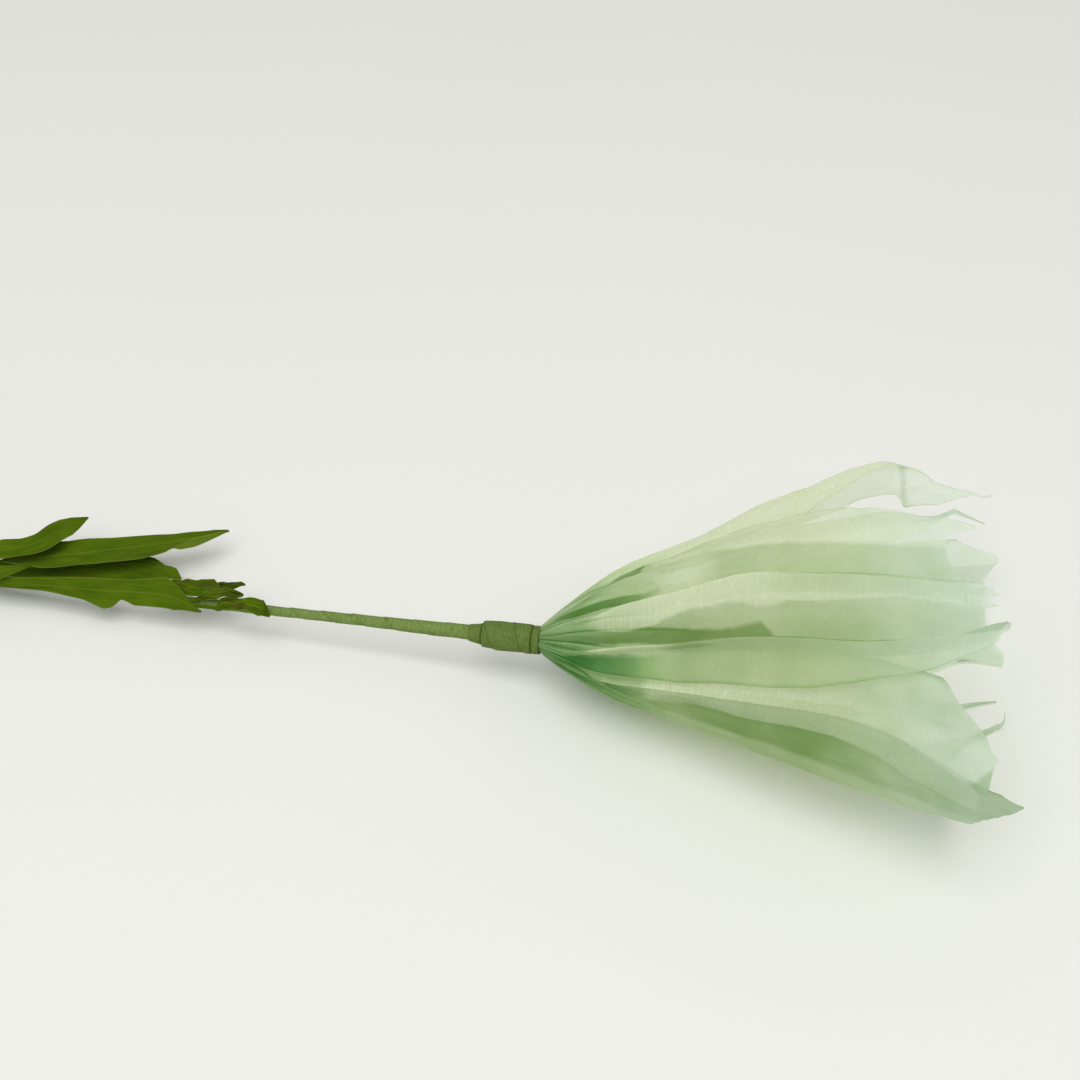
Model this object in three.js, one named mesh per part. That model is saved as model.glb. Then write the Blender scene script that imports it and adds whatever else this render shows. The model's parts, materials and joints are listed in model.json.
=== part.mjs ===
// A long-stemmed paper flower lying on a table: a closed lily-like head of eleven folded paper petals,
// gathered by a taped collar onto a paper-taped wire stem, with folded paper leaves along the stem.
// Millimetres, +Z up. The stem runs along +X, from its cut foot to the petal tips.
import * as THREE from "three";

// Stem: a wire inside a sleeve of wound paper tape, which thickens under the head.
const STEM_LENGTH = 380; // cut foot to collar mouth
const WIRE_R = 1.2;
const STEM_R = 2.3;
const STEM_TOP_R = 3.4;
const COLLAR_HEIGHT = 24; // the collar mouth's height above the table

// Paper, and the room left between neighbouring pieces.
const PAPER = 0.35;
const FIT = 0.3;

// Collar: the tape that binds the petal feet round the stem.
const COLLAR_LENGTH = 28;
const COLLAR_WALL = 1.4;
const FOOT_LENGTH = 14; // how far the petals run into the collar
const FOOT_OUT = 1.5; // how far they run straight on before they swell
const FOOT_LAP = 0.9; // step from one lapped petal foot to the next
const FOOT_EDGE = 0.5; // half the overlap of two petal feet

// Head: the size of the closed bell, and how it leans off the stem.
const HEAD_LENGTH = 200;
const HEAD_TURN = 4.9; // degrees to the left of the stem
const HEAD_RISE = 9.5; // degrees above the table
const SHOULDER = 7.5; // how far the petals swell just outside the collar
const SIDE_FLARE = 0.485;
const TOP_FLARE = 0.24;
const UNDER_FLARE = 0.22;
const MOUTH_CLOSING = 0.0012; // how the sides draw in again towards the tips
const PETAL_LAP = 4.5; // step between lapped petals at mid length
const GATHER_DEPTH = 1; // the small pleats pressed in by the collar
const TABLE_PRESS = 4; // below this height the paper is pressed flat by the table

// Leaves: folded blades bound to the stem by a second wrap, far behind the head.
const LEAF_BACK = 306; // from the collar mouth back to the middle of the wrap
const LEAF_WRAP_LENGTH = 24;
const LEAF_WRAP_WALL = 0.6;
const LEAF_FOOT_WIDTH = 2;
const LEAF_CLEAR = 3; // a leaf leaves the stem's line this far past its foot
const LEAFLET_FOOT = 8; // the small leaves ahead of the wrap are stuck to the stem over this length

const degrees = THREE.MathUtils.degToRad;
const { clamp, lerp, smoothstep } = THREE.MathUtils;
const V = (x, y, z) => new THREE.Vector3(x, y, z);

// Derived sizes.
const NECK_R = STEM_TOP_R + FIT + (PAPER + FOOT_LAP) / 2;
const COLLAR_BORE = NECK_R + (PAPER + FOOT_LAP) / 2 + FIT;
const COLLAR_R = COLLAR_BORE + COLLAR_WALL;
const LEAF_FOOT_R = STEM_R + FIT + PAPER;
const LEAF_WRAP_BORE = Math.hypot(LEAF_FOOT_R + PAPER / 2, LEAF_FOOT_WIDTH / 2 + PAPER) + FIT;

const materials = {
  petal: new THREE.MeshStandardMaterial({ color: 0xd3e2bd, roughness: 0.9 }),
  leaf: new THREE.MeshStandardMaterial({ color: 0x4e6a06, roughness: 0.85 }),
  tape: new THREE.MeshStandardMaterial({ color: 0x6d8148, roughness: 0.8 }),
  wire: new THREE.MeshStandardMaterial({ color: 0x8a8d90, roughness: 0.4, metalness: 1 }),
};

// The stem's line: back = 0 at the collar mouth, STEM_LENGTH at the foot, which rests on the table.
const stemTilt = Math.asin((COLLAR_HEIGHT - STEM_R) / STEM_LENGTH);
const stemAlong = V(Math.cos(stemTilt), 0, Math.sin(stemTilt));
const stemUp = V(-Math.sin(stemTilt), 0, Math.cos(stemTilt));
const collarMouth = V(0, 0, COLLAR_HEIGHT);
const stemPoint = (back) => collarMouth.clone().addScaledVector(stemAlong, -back);

// A point beside the stem: bearing 0 is the far side (+Y), 90 is up.
function besideStem(back, bearing, radius) {
  const turn = degrees(bearing);
  const point = stemPoint(back).addScaledVector(stemUp, radius * Math.sin(turn));
  point.y += radius * Math.cos(turn);
  return point;
}

// Joins a closed list of rings of points into one body; each ring has the same number of points.
function closedSkin(rings, ends) {
  const size = rings[0].length;
  const points = rings.flat();
  const faces = [];
  for (let r = 0; r + 1 < rings.length; r++) {
    for (let i = 0; i < size; i++) {
      const a = r * size + i;
      const b = r * size + ((i + 1) % size);
      faces.push(a, b, b + size, a, b + size, a + size);
    }
  }
  if (ends === "joined") {
    const last = (rings.length - 1) * size;
    for (let i = 0; i < size; i++) {
      const j = (i + 1) % size;
      faces.push(last + i, last + j, j, last + i, j, i);
    }
  } else {
    const last = (rings.length - 1) * size;
    for (let i = 1; i + 1 < size; i++) {
      faces.push(0, i + 1, i, last, last + i, last + i + 1);
    }
  }
  return skinGeometry(points, faces);
}

function skinGeometry(points, faces) {
  const geometry = new THREE.BufferGeometry().setFromPoints(points);
  geometry.setIndex(faces);
  geometry.computeVertexNormals();
  return geometry;
}

// A round piece on the stem's line, from a profile of [back, radius] pairs that runs towards the head.
// With a bore, a second profile runs inside it and the two are joined at both ends.
function turnedOnStem(profile, sides, bore) {
  const ring = ([back, radius]) =>
    Array.from({ length: sides }, (_, i) => besideStem(back, (360 * i) / sides, radius));
  const outer = profile.map(ring);
  if (!bore) return closedSkin(outer, "capped");
  return closedSkin([...outer, ...bore.map(ring).reverse()], "joined");
}

// A sheet of paper from a grid of points, thickened evenly to both sides and closed round its edges.
function paperSheet(grid) {
  const rows = grid.length;
  const cols = grid[0].length;
  const at = (r, c) => grid[clamp(r, 0, rows - 1)][clamp(c, 0, cols - 1)];
  const face = [[], []];
  for (let r = 0; r < rows; r++) {
    for (let c = 0; c < cols; c++) {
      const along = at(r + 1, c).clone().sub(at(r - 1, c));
      const across = at(r, c + 1).clone().sub(at(r, c - 1));
      const out = along.cross(across).setLength(PAPER / 2);
      face[0].push(at(r, c).clone().add(out));
      face[1].push(at(r, c).clone().sub(out));
    }
  }
  const under = rows * cols;
  const faces = [];
  for (let r = 0; r + 1 < rows; r++) {
    for (let c = 0; c + 1 < cols; c++) {
      const a = r * cols + c;
      const b = a + 1;
      const d = a + cols;
      const e = d + 1;
      faces.push(a, d, e, a, e, b, under + a, under + e, under + d, under + a, under + b, under + e);
    }
  }
  const edge = (a, b) => faces.push(a, b, under + b, a, under + b, under + a);
  for (let c = 0; c + 1 < cols; c++) {
    edge(c, c + 1);
    edge((rows - 1) * cols + c + 1, (rows - 1) * cols + c);
  }
  for (let r = 0; r + 1 < rows; r++) {
    edge((r + 1) * cols, r * cols);
    edge(r * cols + cols - 1, (r + 1) * cols + cols - 1);
  }
  return skinGeometry([...face[0], ...face[1]], faces);
}

// Smooth curve through values spaced evenly over 0..1.
function through(values, share) {
  const x = clamp(share, 0, 1) * (values.length - 1);
  const i = Math.min(Math.floor(x), values.length - 2);
  const f = x - i;
  const b = values[i];
  const c = values[i + 1];
  const a = values[i - 1] ?? b;
  const d = values[i + 2] ?? c;
  return b + 0.5 * f * (c - a + f * (2 * a - 5 * b + 4 * c - d + f * (3 * (b - c) + d - a)));
}

// Straight lines through [x, value] pairs, level beyond the ends.
function polyline(pairs, x) {
  const next = pairs.findIndex(([at]) => x < at);
  if (next < 1) return pairs[next < 0 ? pairs.length - 1 : 0][1];
  const [[x0, v0], [x1, v1]] = pairs.slice(next - 1);
  return lerp(v0, v1, (x - x0) / (x1 - x0));
}

// The eleven petals, in order round the head. A bearing is an angle round the head's axis: 0 far side, 90 up.
//   fold:  bearings of the petal's middle fold at the collar, then each quarter of the head's length
//   high, soft: how far the fold stands out of the bell, and how rounded it is (1 is a sharp fold)
//   hem:   how far the petal reaches, as [place across, share of the head]; -1 and 1 are its edges
//   sides: for each side of the fold, [share of the length, share of the width that is left]
//   seam:  with the next petal. at: place between the two folds; level: height out of the bell;
//          lap: half the overlap in mm; over: 1 where this petal lies outside the next one, else -1
//   crease: a second fold, at a place across the petal
const UNCUT = [[0, 1]];
const POINTED = [[0.4, 1], [0.7, 0.87], [0.85, 0.45], [0.93, 0.12], [1, 0.03]];
const PETALS = [
  { fold: [54, 46, 39, 30, -11], high: 7, soft: 1.3, hem: [[0, 1.02]],
    sides: [[[0.647, 0.9], [0.7, 0.75], [0.755, 0.72], [0.78, 0.65], [0.79, 0.75], [0.8, 0.9], [0.836, 0.68],
      [0.863, 0.48], [0.89, 0.34], [0.926, 0.1], [0.96, 0.03], [1, 0.02]],
    [[0.39, 1], [0.49, 0.9], [0.59, 0.6], [0.69, 0.36], [0.785, 0.2], [0.803, 0.12], [0.863, 0.03], [1, 0.03]]],
    seam: { at: 0.52, level: 2, lap: 6, over: -1 } },
  { fold: [87, 68, 78, 89, 98], high: 6, soft: 1.5,
    hem: [[-1, 0.965], [0, 0.963], [0.07, 0.908], [0.25, 0.9], [0.44, 0.905], [0.65, 0.936], [1, 0.94]],
    sides: [[[0.4, 1], [0.5, 0.9], [0.664, 0.59], [0.861, 0.164], [0.931, 0.087], [1, 0.02]], UNCUT],
    seam: { at: 0.86, level: 0, lap: 3, over: -1 } },
  { fold: [119, 110, 103, 109, 117], high: 9, soft: 1,
    hem: [[-1, 0.972], [-0.1, 0.972], [0.1, 1], [0.18, 0.972], [0.28, 1], [0.33, 0.968], [1, 0.95]],
    sides: [UNCUT, UNCUT], crease: { at: 0.25, wide: 0.5, high: 4 },
    seam: { at: 0.88, level: -5, lap: 2.5, over: -1 } },
  { fold: [152, 138, 130, 130, 127], high: 9, soft: 1,
    hem: [[-1, 0.975], [-0.4, 1], [0, 1.016], [0.5, 1.01], [1, 0.99]],
    sides: [[[0.98, 1], [1, 0.6]],
      [[0.09, 0.8], [0.2, 0.82], [0.34, 0.9], [0.43, 0.83], [0.53, 0.82], [0.62, 0.75], [0.74, 0.49],
        [0.85, 0.32], [0.9, 0.21], [0.95, 0.14], [1, 0.04]]],
    seam: { at: 0.5, level: 5, lap: 11, over: 1 } },
  { fold: [185, 166, 158, 157, 176], high: 7, soft: 1.4,
    hem: [[-1, 0.885], [-0.94, 0.905], [-0.85, 0.945], [-0.65, 0.982], [-0.2, 0.963], [0.83, 0.945], [1, 0.926]],
    sides: [UNCUT, [[0.15, 0.55], [0.21, 0.95], [0.31, 1], [0.38, 0.65], [0.5, 0.76], [0.6, 0.64], [0.68, 0.64],
      [0.76, 0.78], [0.83, 1]]],
    seam: { at: 0.18, level: 3, lap: 8, over: 1 } },
  { fold: [217, 203, 200, 205, 215], high: 4, soft: 1.3,
    hem: [[-1, 0.985], [-0.92, 1.03], [-0.75, 0.99], [-0.5, 0.95], [0, 0.92], [1, 0.9]],
    sides: [UNCUT, [[0.7, 1], [1, 0.7]]],
    seam: { at: 0.5, level: 0, lap: 6, over: 1 } },
  { fold: [250, 238, 234, 243, 268], high: 5, soft: 1.3, hem: [[0, 1.015]], sides: [POINTED, POINTED],
    seam: { at: 0.5, level: 0, lap: 7, over: 1 } },
  { fold: [283, 268, 260, 265, 275], high: 5, soft: 1.3, hem: [[0, 1]], sides: [POINTED, POINTED],
    seam: { at: 0.5, level: 0, lap: 7, over: 1 } },
  { fold: [316, 298, 287, 287, 290], high: 6, soft: 1.3,
    hem: [[-1, 0.84], [-0.5, 0.86], [-0.3, 0.885], [-0.15, 0.94], [-0.05, 1.02], [0.3, 1.028], [0.5, 1],
      [1, 0.985]],
    sides: [UNCUT, UNCUT],
    seam: { at: 0.5, level: 0, lap: 7, over: -1 } },
  { fold: [348, 330, 316, 314, 318], high: 8, soft: 1.3,
    hem: [[-1, 0.985], [0.18, 0.99], [0.7, 1.019], [0.78, 1.028], [0.83, 1.019], [0.88, 0.99], [0.92, 0.963],
      [1, 0.93]],
    sides: [UNCUT, UNCUT],
    seam: { at: 0.5, level: 0, lap: 7, over: -1 } },
  { fold: [381, 366, 352, 348, 338], high: 8, soft: 1.3, hem: [[0, 1]],
    sides: [[[0.4, 1], [0.55, 0.85], [0.7, 0.5], [0.83, 0.2], [0.88, 0.13], [0.91, 0.09], [0.95, 0.03]],
      [[0.4, 1], [0.55, 0.8], [0.7, 0.45], [0.83, 0.2], [0.88, 0.16], [0.91, 0.11], [0.95, 0.03]]],
    seam: { at: 0.5, level: 0, lap: 7, over: -1 } },
];
const ROWS = 18; // along a petal
const COLS = 8; // across a petal
const MOST_LAP = 0.8; // of the distance from a seam to the nearer fold
const LAP_LINE = 0.75; // where the lapped edge starts, from the fold to the edge

// The head's own axes: along it, to its far side, and up.
const headAlong = V(1, 0, 0)
  .applyAxisAngle(V(0, 1, 0), -degrees(HEAD_RISE))
  .applyAxisAngle(V(0, 0, 1), degrees(HEAD_TURN));
const headSide = V(-Math.sin(degrees(HEAD_TURN)), Math.cos(degrees(HEAD_TURN)), 0);
const headUp = headAlong.clone().cross(headSide);

// Half width and half height of the bell at a distance along its axis, on the side of a bearing.
function bellHalves(along, bearing) {
  const x = Math.max(along, 0);
  const swell = NECK_R + SHOULDER * (1 - Math.exp((-x * 200) / (12 * HEAD_LENGTH)));
  const drawnIn = MOUTH_CLOSING * Math.max(x - 0.65 * HEAD_LENGTH, 0) ** 2;
  const flare = Math.sin(degrees(bearing)) >= 0 ? TOP_FLARE : UNDER_FLARE;
  return [swell + SIDE_FLARE * x - drawnIn, swell + flare * x];
}

// A point of the bell, a height outside it. The petal feet follow the stem into the collar, and what
// would sink into the table is pressed flat on it.
function bellPoint(along, bearing, height) {
  if (along <= FOOT_OUT) return besideStem(-along, bearing, NECK_R + height);
  const [half, rise] = bellHalves(along, bearing);
  const c = Math.cos(degrees(bearing));
  const s = Math.sin(degrees(bearing));
  const slant = Math.hypot(rise * c, half * s);
  const point = collarMouth
    .clone()
    .addScaledVector(headAlong, along)
    .addScaledVector(headSide, half * c + (height * rise * c) / slant)
    .addScaledVector(headUp, rise * s + (height * half * s) / slant);
  if (point.z < TABLE_PRESS) point.z = TABLE_PRESS * Math.exp(point.z / TABLE_PRESS - 1);
  return point;
}

// Bearings of a petal's fold, and of its seam with the next petal; petals are counted on round the head.
const petalAt = (i) => PETALS[(i + PETALS.length) % PETALS.length];
const foldBearing = (i, share) =>
  through(petalAt(i).fold, share) + 360 * Math.floor(i / PETALS.length);
const seamBearing = (i, share) =>
  lerp(foldBearing(i, share), foldBearing(i + 1, share), petalAt(i).seam.at);

// Half a seam's overlap, in degrees, at a distance along the head. It never reaches a neighbour's fold.
function lapAngle(i, along) {
  const share = along / HEAD_LENGTH;
  const bearing = seamBearing(i, share);
  const [half, rise] = bellHalves(along, bearing);
  const arc = Math.hypot(half * Math.sin(degrees(bearing)), rise * Math.cos(degrees(bearing)));
  const { at, lap } = petalAt(i).seam;
  const width = lerp(FOOT_EDGE, lap, clamp(2 * share, 0, 1));
  const room = Math.min(at, 1 - at) * (foldBearing(i + 1, share) - foldBearing(i, share));
  return Math.min(THREE.MathUtils.radToDeg(width / arc), MOST_LAP * room);
}

// The point of petal i at a distance along the head; across runs from -1 at one edge, 0 at the fold, to 1.
function petalPoint(i, along, across) {
  const petal = petalAt(i);
  const share = along / HEAD_LENGTH;
  const side = across < 0 ? 0 : 1;
  const turn = side ? 1 : -1;
  const seamIndex = i - 1 + side;
  const seam = petalAt(seamIndex).seam;
  const fold = foldBearing(i, share);
  const seamAt = seamBearing(seamIndex, share);
  const lap = turn * lapAngle(seamIndex, along);

  // Across the sheet: a flank from the fold to the lap, then the lapped edge.
  const flank = Math.min(Math.abs(across) / LAP_LINE, 1) * (seamAt - lap - fold);
  const edge = clamp((Math.abs(across) - LAP_LINE) / (1 - LAP_LINE), 0, 1) * 2 * lap;
  const longest = Math.max(...petal.hem.map(([, reach]) => reach));
  const bearing = fold + polyline(petal.sides[side], share / longest) * (flank + edge);

  // Out of the bell: high at the fold, down to the seam's level, half a step out or in where it laps.
  const open = smoothstep(share, 0, 0.225);
  const step = (lerp(FOOT_LAP, PETAL_LAP, clamp(share / 0.6, 0, 1)) / 2) * seam.over * turn;
  const down = clamp((bearing - fold) / (seamAt - lap - fold), 0, 1) ** petal.soft;
  const height = lerp(petal.high * open, seam.level * open + step, down);
  const gather = GATHER_DEPTH * smoothstep(share, 0, 0.1) * (1 - smoothstep(share, 0.15, 0.4));
  const pleat = gather * Math.max(0, 1 - Math.abs(4 * Math.abs(across) - 2));
  return bellPoint(along, bearing, height - pleat + creaseHeight(petal.crease, share, across));
}

// How far a petal's second crease stands out of its flank: a ridge from a tenth of the head's length on.
function creaseHeight(crease, share, across) {
  if (!crease) return 0;
  const ridge = Math.max(0, 1 - Math.abs(across - crease.at) / crease.wide);
  return crease.high * ridge * smoothstep(share, 0.1, 0.35);
}

// Columns of points from the collar to the hem, so that the last row of the sheet is the hem itself.
function petalGeometry(i) {
  const { hem } = petalAt(i);
  const across = Array.from({ length: COLS + 1 }, (_, c) => (2 * c) / COLS - 1);
  const row = (share) =>
    across.map((v) => petalPoint(i, lerp(FOOT_OUT, polyline(hem, v) * HEAD_LENGTH, share), v));
  const foot = across.map((v) => petalPoint(i, -FOOT_LENGTH, v));
  return paperSheet([foot, ...Array.from({ length: ROWS + 1 }, (_, r) => row(r / ROWS))]);
}

const flower = new THREE.Group();
flower.name = "paper_flower";

function add(name, geometry, material) {
  const mesh = new THREE.Mesh(geometry, material);
  mesh.name = name;
  flower.add(mesh);
}

// Leaves, each a folded blade. back: where its foot is tied to the stem; tied: over what length;
//   foot: the bearing of its foot there; face: the bearing that its middle faces;
//   fold: degrees that each half is bent up along the midrib;
//   line: its midrib as [back, side, height above the table];
//   sides: for each side of the midrib, [share of the length, width in mm]
const LEAVES = [
  { name: "leaf_1", back: LEAF_BACK, tied: LEAF_WRAP_LENGTH, foot: 80, face: 105, fold: 15,
    line: [[272.9, 7, 19], [257.5, 12.6, 21], [250.4, 17.7, 22], [246.3, 25.9, 22.5], [234.7, 38.8, 23]],
    sides: [[[0, 1], [0.3, 5], [0.4, 5.6], [0.53, 4.4], [0.83, 4.6], [0.9, 3.6], [1, 0.3]],
      [[0, 1], [0.3, 6.5], [0.5, 6.8], [0.62, 8.4], [0.74, 9.8], [0.84, 9], [0.9, 6.4], [1, 0.3]]] },
  { name: "leaf_2", back: LEAF_BACK, tied: LEAF_WRAP_LENGTH, foot: 15, face: 97, fold: 12,
    line: [[272.2, 5.6, 14], [244.9, 14.6, 15.5], [223, 23.7, 16], [201, 33.1, 16], [182.1, 44, 15.5],
      [168.7, 54.6, 14]],
    sides: [[[0, 1], [0.2, 3], [0.35, 9.5], [0.43, 7.9], [0.5, 7.8], [0.75, 5.6], [0.95, 2.4], [1, 0.3]],
      [[0, 1], [0.2, 3], [0.33, 8.5], [0.53, 10.6], [0.68, 10.9], [0.76, 8], [0.79, 5.3],
        [0.81, 8], [0.86, 7.6], [1, 0.3]]] },
  { name: "leaf_3", back: LEAF_BACK, tied: LEAF_WRAP_LENGTH, foot: 190, face: 140, fold: 4,
    line: [[260.9, -7.1, 14], [236.1, -4.9, 15], [211.2, -3.4, 16], [187.1, -1.5, 17], [173.3, -2.3, 17.4],
      [159.7, -6.2, 15]],
    sides: [[[0, 1], [0.25, 2.8], [0.58, 5.7], [0.74, 5.8], [0.85, 8.5], [0.9, 4.2], [0.95, 1.3], [1, 0.3]],
      [[0, 1], [0.4, 2.4], [0.55, 5], [0.63, 8.8], [0.66, 7.8], [0.69, 3.6], [0.74, 6.4], [0.9, 5.8],
        [1, 0.6]]] },
  { name: "leaf_4", back: LEAF_BACK, tied: LEAF_WRAP_LENGTH, foot: 305, face: 282, fold: -6,
    line: [[271.9, 12.2, 5.5], [247.1, 16.2, 7.5], [223.4, 22, 8.5], [204.5, 26.5, 9], [191, 25.3, 9.3],
      [180.7, 20, 9.3]],
    sides: [[[0, 1], [0.08, 2.5], [0.2, 7], [0.4, 10], [0.6, 13], [0.75, 12.5], [0.9, 8], [1, 0.6]],
      [[0, 1], [0.2, 4.2], [0.45, 5], [0.77, 4.2], [0.83, 4.6], [0.89, 1.9], [0.94, 3.1], [1, 0.3]]] },
  { name: "leaf_5", back: LEAF_BACK, tied: LEAF_WRAP_LENGTH, foot: 135, face: 120, fold: 8,
    line: [[271.6, -7.4, 16], [260.6, -5.4, 19.5], [246.9, 0.2, 21.5]],
    sides: [[[0, 1], [0.2, 3.5], [0.45, 5], [0.7, 3.2], [1, 0.3]],
      [[0, 1], [0.2, 3.5], [0.5, 4.3], [0.7, 3.9], [1, 0.3]]] },
  { name: "leaflet_1", back: 194, tied: LEAFLET_FOOT, foot: 60, face: 105, fold: -6,
    line: [[181.9, 3, 17.5], [171, 3.7, 19], [161.9, 4, 20.5], [153.9, 5.2, 21]],
    sides: [[[0, 1], [0.3, 5.5], [0.45, 4.9], [0.9, 5.6], [1, 0.3]],
      [[0, 1], [0.3, 3], [0.8, 3.2], [0.9, 2.9], [1, 0.5]]] },
  { name: "leaflet_2", back: 184, tied: LEAFLET_FOOT, foot: 10, face: 115, fold: 8,
    line: [[171, 7, 16], [159.5, 8.6, 18.5], [150.6, 8, 21], [142.8, 8.6, 22.5]],
    sides: [[[0, 1], [0.7, 1.8], [0.8, 1.2], [0.95, 1.4], [1, 0.3]],
      [[0, 1], [0.7, 1.7], [0.75, 1.4], [0.85, 1.9], [1, 0.3]]] },
  { name: "leaflet_3", back: 160, tied: LEAFLET_FOOT, foot: 172, face: 120, fold: -12,
    line: [[150.2, -2.5, 19], [142.3, -2.2, 20.3], [135, -3.3, 20.8], [129.3, -4.5, 20.5], [125.7, -5.7, 18.5]],
    sides: [[[0, 1], [0.2, 2.3], [0.5, 2.8], [0.65, 4.3], [0.78, 4.7], [0.9, 1.7], [1, 0.4]],
      [[0, 1], [0.2, 3.7], [0.65, 2.9], [0.85, 3.7], [1, 0.7]]] },
  { name: "leaflet_4", back: 172, tied: LEAFLET_FOOT, foot: 118, face: 115, fold: -10,
    line: [[159.2, -0.5, 20.5], [152.9, 0.4, 22.5], [147.2, 1.1, 23], [140.9, 1.3, 22.5]],
    sides: [[[0, 1], [0.2, 1.1], [0.5, 2.6], [0.8, 2.2], [1, 0.3]],
      [[0, 1], [0.3, 2.6], [0.5, 3.2], [0.7, 2.3], [0.85, 2.3], [1, 0.6]]] },
];
const LEAF_TURNED = 0.35; // share of its length by which a leaf has turned to its facing
const LEAF_STEP = 8.5; // about this far from one row of a leaf to the next

function leafGeometry({ back, tied, foot, face, fold, line, sides }) {
  const ends = [back + tied / 2, back, back - tied / 2, back - tied / 2 - LEAF_CLEAR];
  const footLine = ends.map((b) => besideStem(b, foot, LEAF_FOOT_R));
  const blade = line.map(([b, side, height]) => V(-b, side, height));
  const midrib = new THREE.CatmullRomCurve3([...footLine, ...blade], false, "centripetal");
  const footShare = (tied + LEAF_CLEAR / 2) / midrib.getLength();
  const count = Math.max(8, Math.round(midrib.getLength() / LEAF_STEP));
  const rows = [];
  for (let r = -1; r <= count; r++) {
    const grown = Math.max(r / count, 0);
    const share = r < 0 ? 0 : lerp(footShare, 1, grown);
    const along = midrib.getTangentAt(share);
    const facing = degrees(lerp(foot, face, smoothstep(grown, 0, LEAF_TURNED)));
    const out = V(0, Math.cos(facing), Math.sin(facing)).projectOnPlane(along).normalize();
    const aside = along.clone().cross(out);
    const bend = degrees(fold) * smoothstep(grown, 0, 0.3);
    rows.push([-1, -0.5, 0, 0.5, 1].map((v) => {
      const reach = Math.abs(v) * polyline(sides[v < 0 ? 0 : 1], grown);
      return midrib.getPointAt(share)
        .addScaledVector(aside, Math.sign(v) * reach * Math.cos(bend))
        .addScaledVector(out, reach * Math.sin(bend));
    }));
  }
  return paperSheet(rows);
}

const stemWire = turnedOnStem([[STEM_LENGTH, WIRE_R], [FIT, WIRE_R]], 12);
const stemTape = turnedOnStem(
  [
    [STEM_LENGTH, STEM_R],
    [4 * COLLAR_LENGTH, STEM_R],
    [2 * COLLAR_LENGTH, lerp(STEM_R, STEM_TOP_R, 0.4)],
    [COLLAR_LENGTH + 8, lerp(STEM_R, STEM_TOP_R, 0.85)],
    [COLLAR_LENGTH, STEM_TOP_R],
    [FIT, STEM_TOP_R],
  ],
  20,
  [
    [STEM_LENGTH, WIRE_R + FIT],
    [FIT, WIRE_R + FIT],
  ],
);
const collarWrap = turnedOnStem(
  [
    [COLLAR_LENGTH + 4, STEM_TOP_R + 2 * FIT],
    [COLLAR_LENGTH, lerp(STEM_TOP_R, COLLAR_R, 0.6)],
    [COLLAR_LENGTH - 5, COLLAR_R - FIT],
    [2, COLLAR_R],
    [0, COLLAR_R - COLLAR_WALL / 2],
  ],
  24,
  [
    [COLLAR_LENGTH + 4, STEM_TOP_R + FIT],
    [FOOT_LENGTH + 2, STEM_TOP_R + FIT],
    [FOOT_LENGTH + 1, COLLAR_BORE],
    [0, COLLAR_BORE],
  ],
);
const leafWrapEnds = [LEAF_BACK + LEAF_WRAP_LENGTH / 2, LEAF_BACK - LEAF_WRAP_LENGTH / 2];
const leafWrap = turnedOnStem(
  leafWrapEnds.map((back) => [back, LEAF_WRAP_BORE + LEAF_WRAP_WALL]),
  20,
  leafWrapEnds.map((back) => [back, LEAF_WRAP_BORE]),
);

add("stem_wire", stemWire, materials.wire);
add("stem_tape", stemTape, materials.tape);
add("collar_wrap", collarWrap, materials.tape);
add("leaf_wrap", leafWrap, materials.tape);
PETALS.forEach((_, i) => add("petal_" + String(i + 1).padStart(2, "0"), petalGeometry(i), materials.petal));
LEAVES.forEach((leaf) => add(leaf.name, leafGeometry(leaf), materials.leaf));

// Stand the whole flower's box on the origin.
const box = new THREE.Box3().setFromObject(flower);
const middle = box.getCenter(new THREE.Vector3());
flower.position.set(-middle.x, -middle.y, -box.min.z);

export default flower;
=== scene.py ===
# %% [markdown]
# # A closed paper flower on a white table
# The real thing is made by hand: eleven petals of thin mulberry paper, folded lengthwise, gathered at
# the foot and bound by paper tape to a taped wire stem. Dark paper leaves are folded along the stem.
# This lesson starts from the CAD solids, which already have the right places and sizes, and makes each
# sheet again with the fine folds, fibres and see-through glow that only Blender can give it.

# %% Start from the shared frame
import json
import math

import bpy
from mathutils import Matrix, Vector, noise


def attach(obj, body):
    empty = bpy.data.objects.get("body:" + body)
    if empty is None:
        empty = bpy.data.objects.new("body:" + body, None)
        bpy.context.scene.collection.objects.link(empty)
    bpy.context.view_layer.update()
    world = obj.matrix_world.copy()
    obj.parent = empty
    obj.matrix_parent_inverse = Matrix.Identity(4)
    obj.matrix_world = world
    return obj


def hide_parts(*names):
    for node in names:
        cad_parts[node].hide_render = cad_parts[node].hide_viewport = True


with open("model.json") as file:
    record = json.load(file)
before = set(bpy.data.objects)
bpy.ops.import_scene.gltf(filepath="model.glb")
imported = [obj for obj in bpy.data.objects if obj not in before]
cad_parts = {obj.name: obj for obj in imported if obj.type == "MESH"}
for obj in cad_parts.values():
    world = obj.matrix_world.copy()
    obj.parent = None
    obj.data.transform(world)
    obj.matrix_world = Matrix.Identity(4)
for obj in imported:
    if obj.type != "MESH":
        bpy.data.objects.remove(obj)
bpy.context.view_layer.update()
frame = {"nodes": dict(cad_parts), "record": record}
MM = 0.001

# %% [markdown]
# ## Where things are
# Every place on the flower is measured from the mouth of the collar, where the petals come out. The
# record holds the centre of the stem's cut foot and the stem's direction, and the collar mouth is one
# stem length further on. Lengths below are in millimetres, as on the maker's bench.

# %% The stem's line
STEM_LENGTH = 380
foot_mount = frame["record"]["mounts"][0]
stem_along = -Vector(foot_mount["axis"])
stem_up = Vector((-stem_along.z, 0, stem_along.x))
far_side = Vector((0, 1, 0))
collar_mouth = Vector(foot_mount["pos_m"]) / MM + STEM_LENGTH * stem_along
table_point = Vector((collar_mouth.x, collar_mouth.y, 0))
print("collar mouth:", [round(x, 1) for x in collar_mouth])


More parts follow.
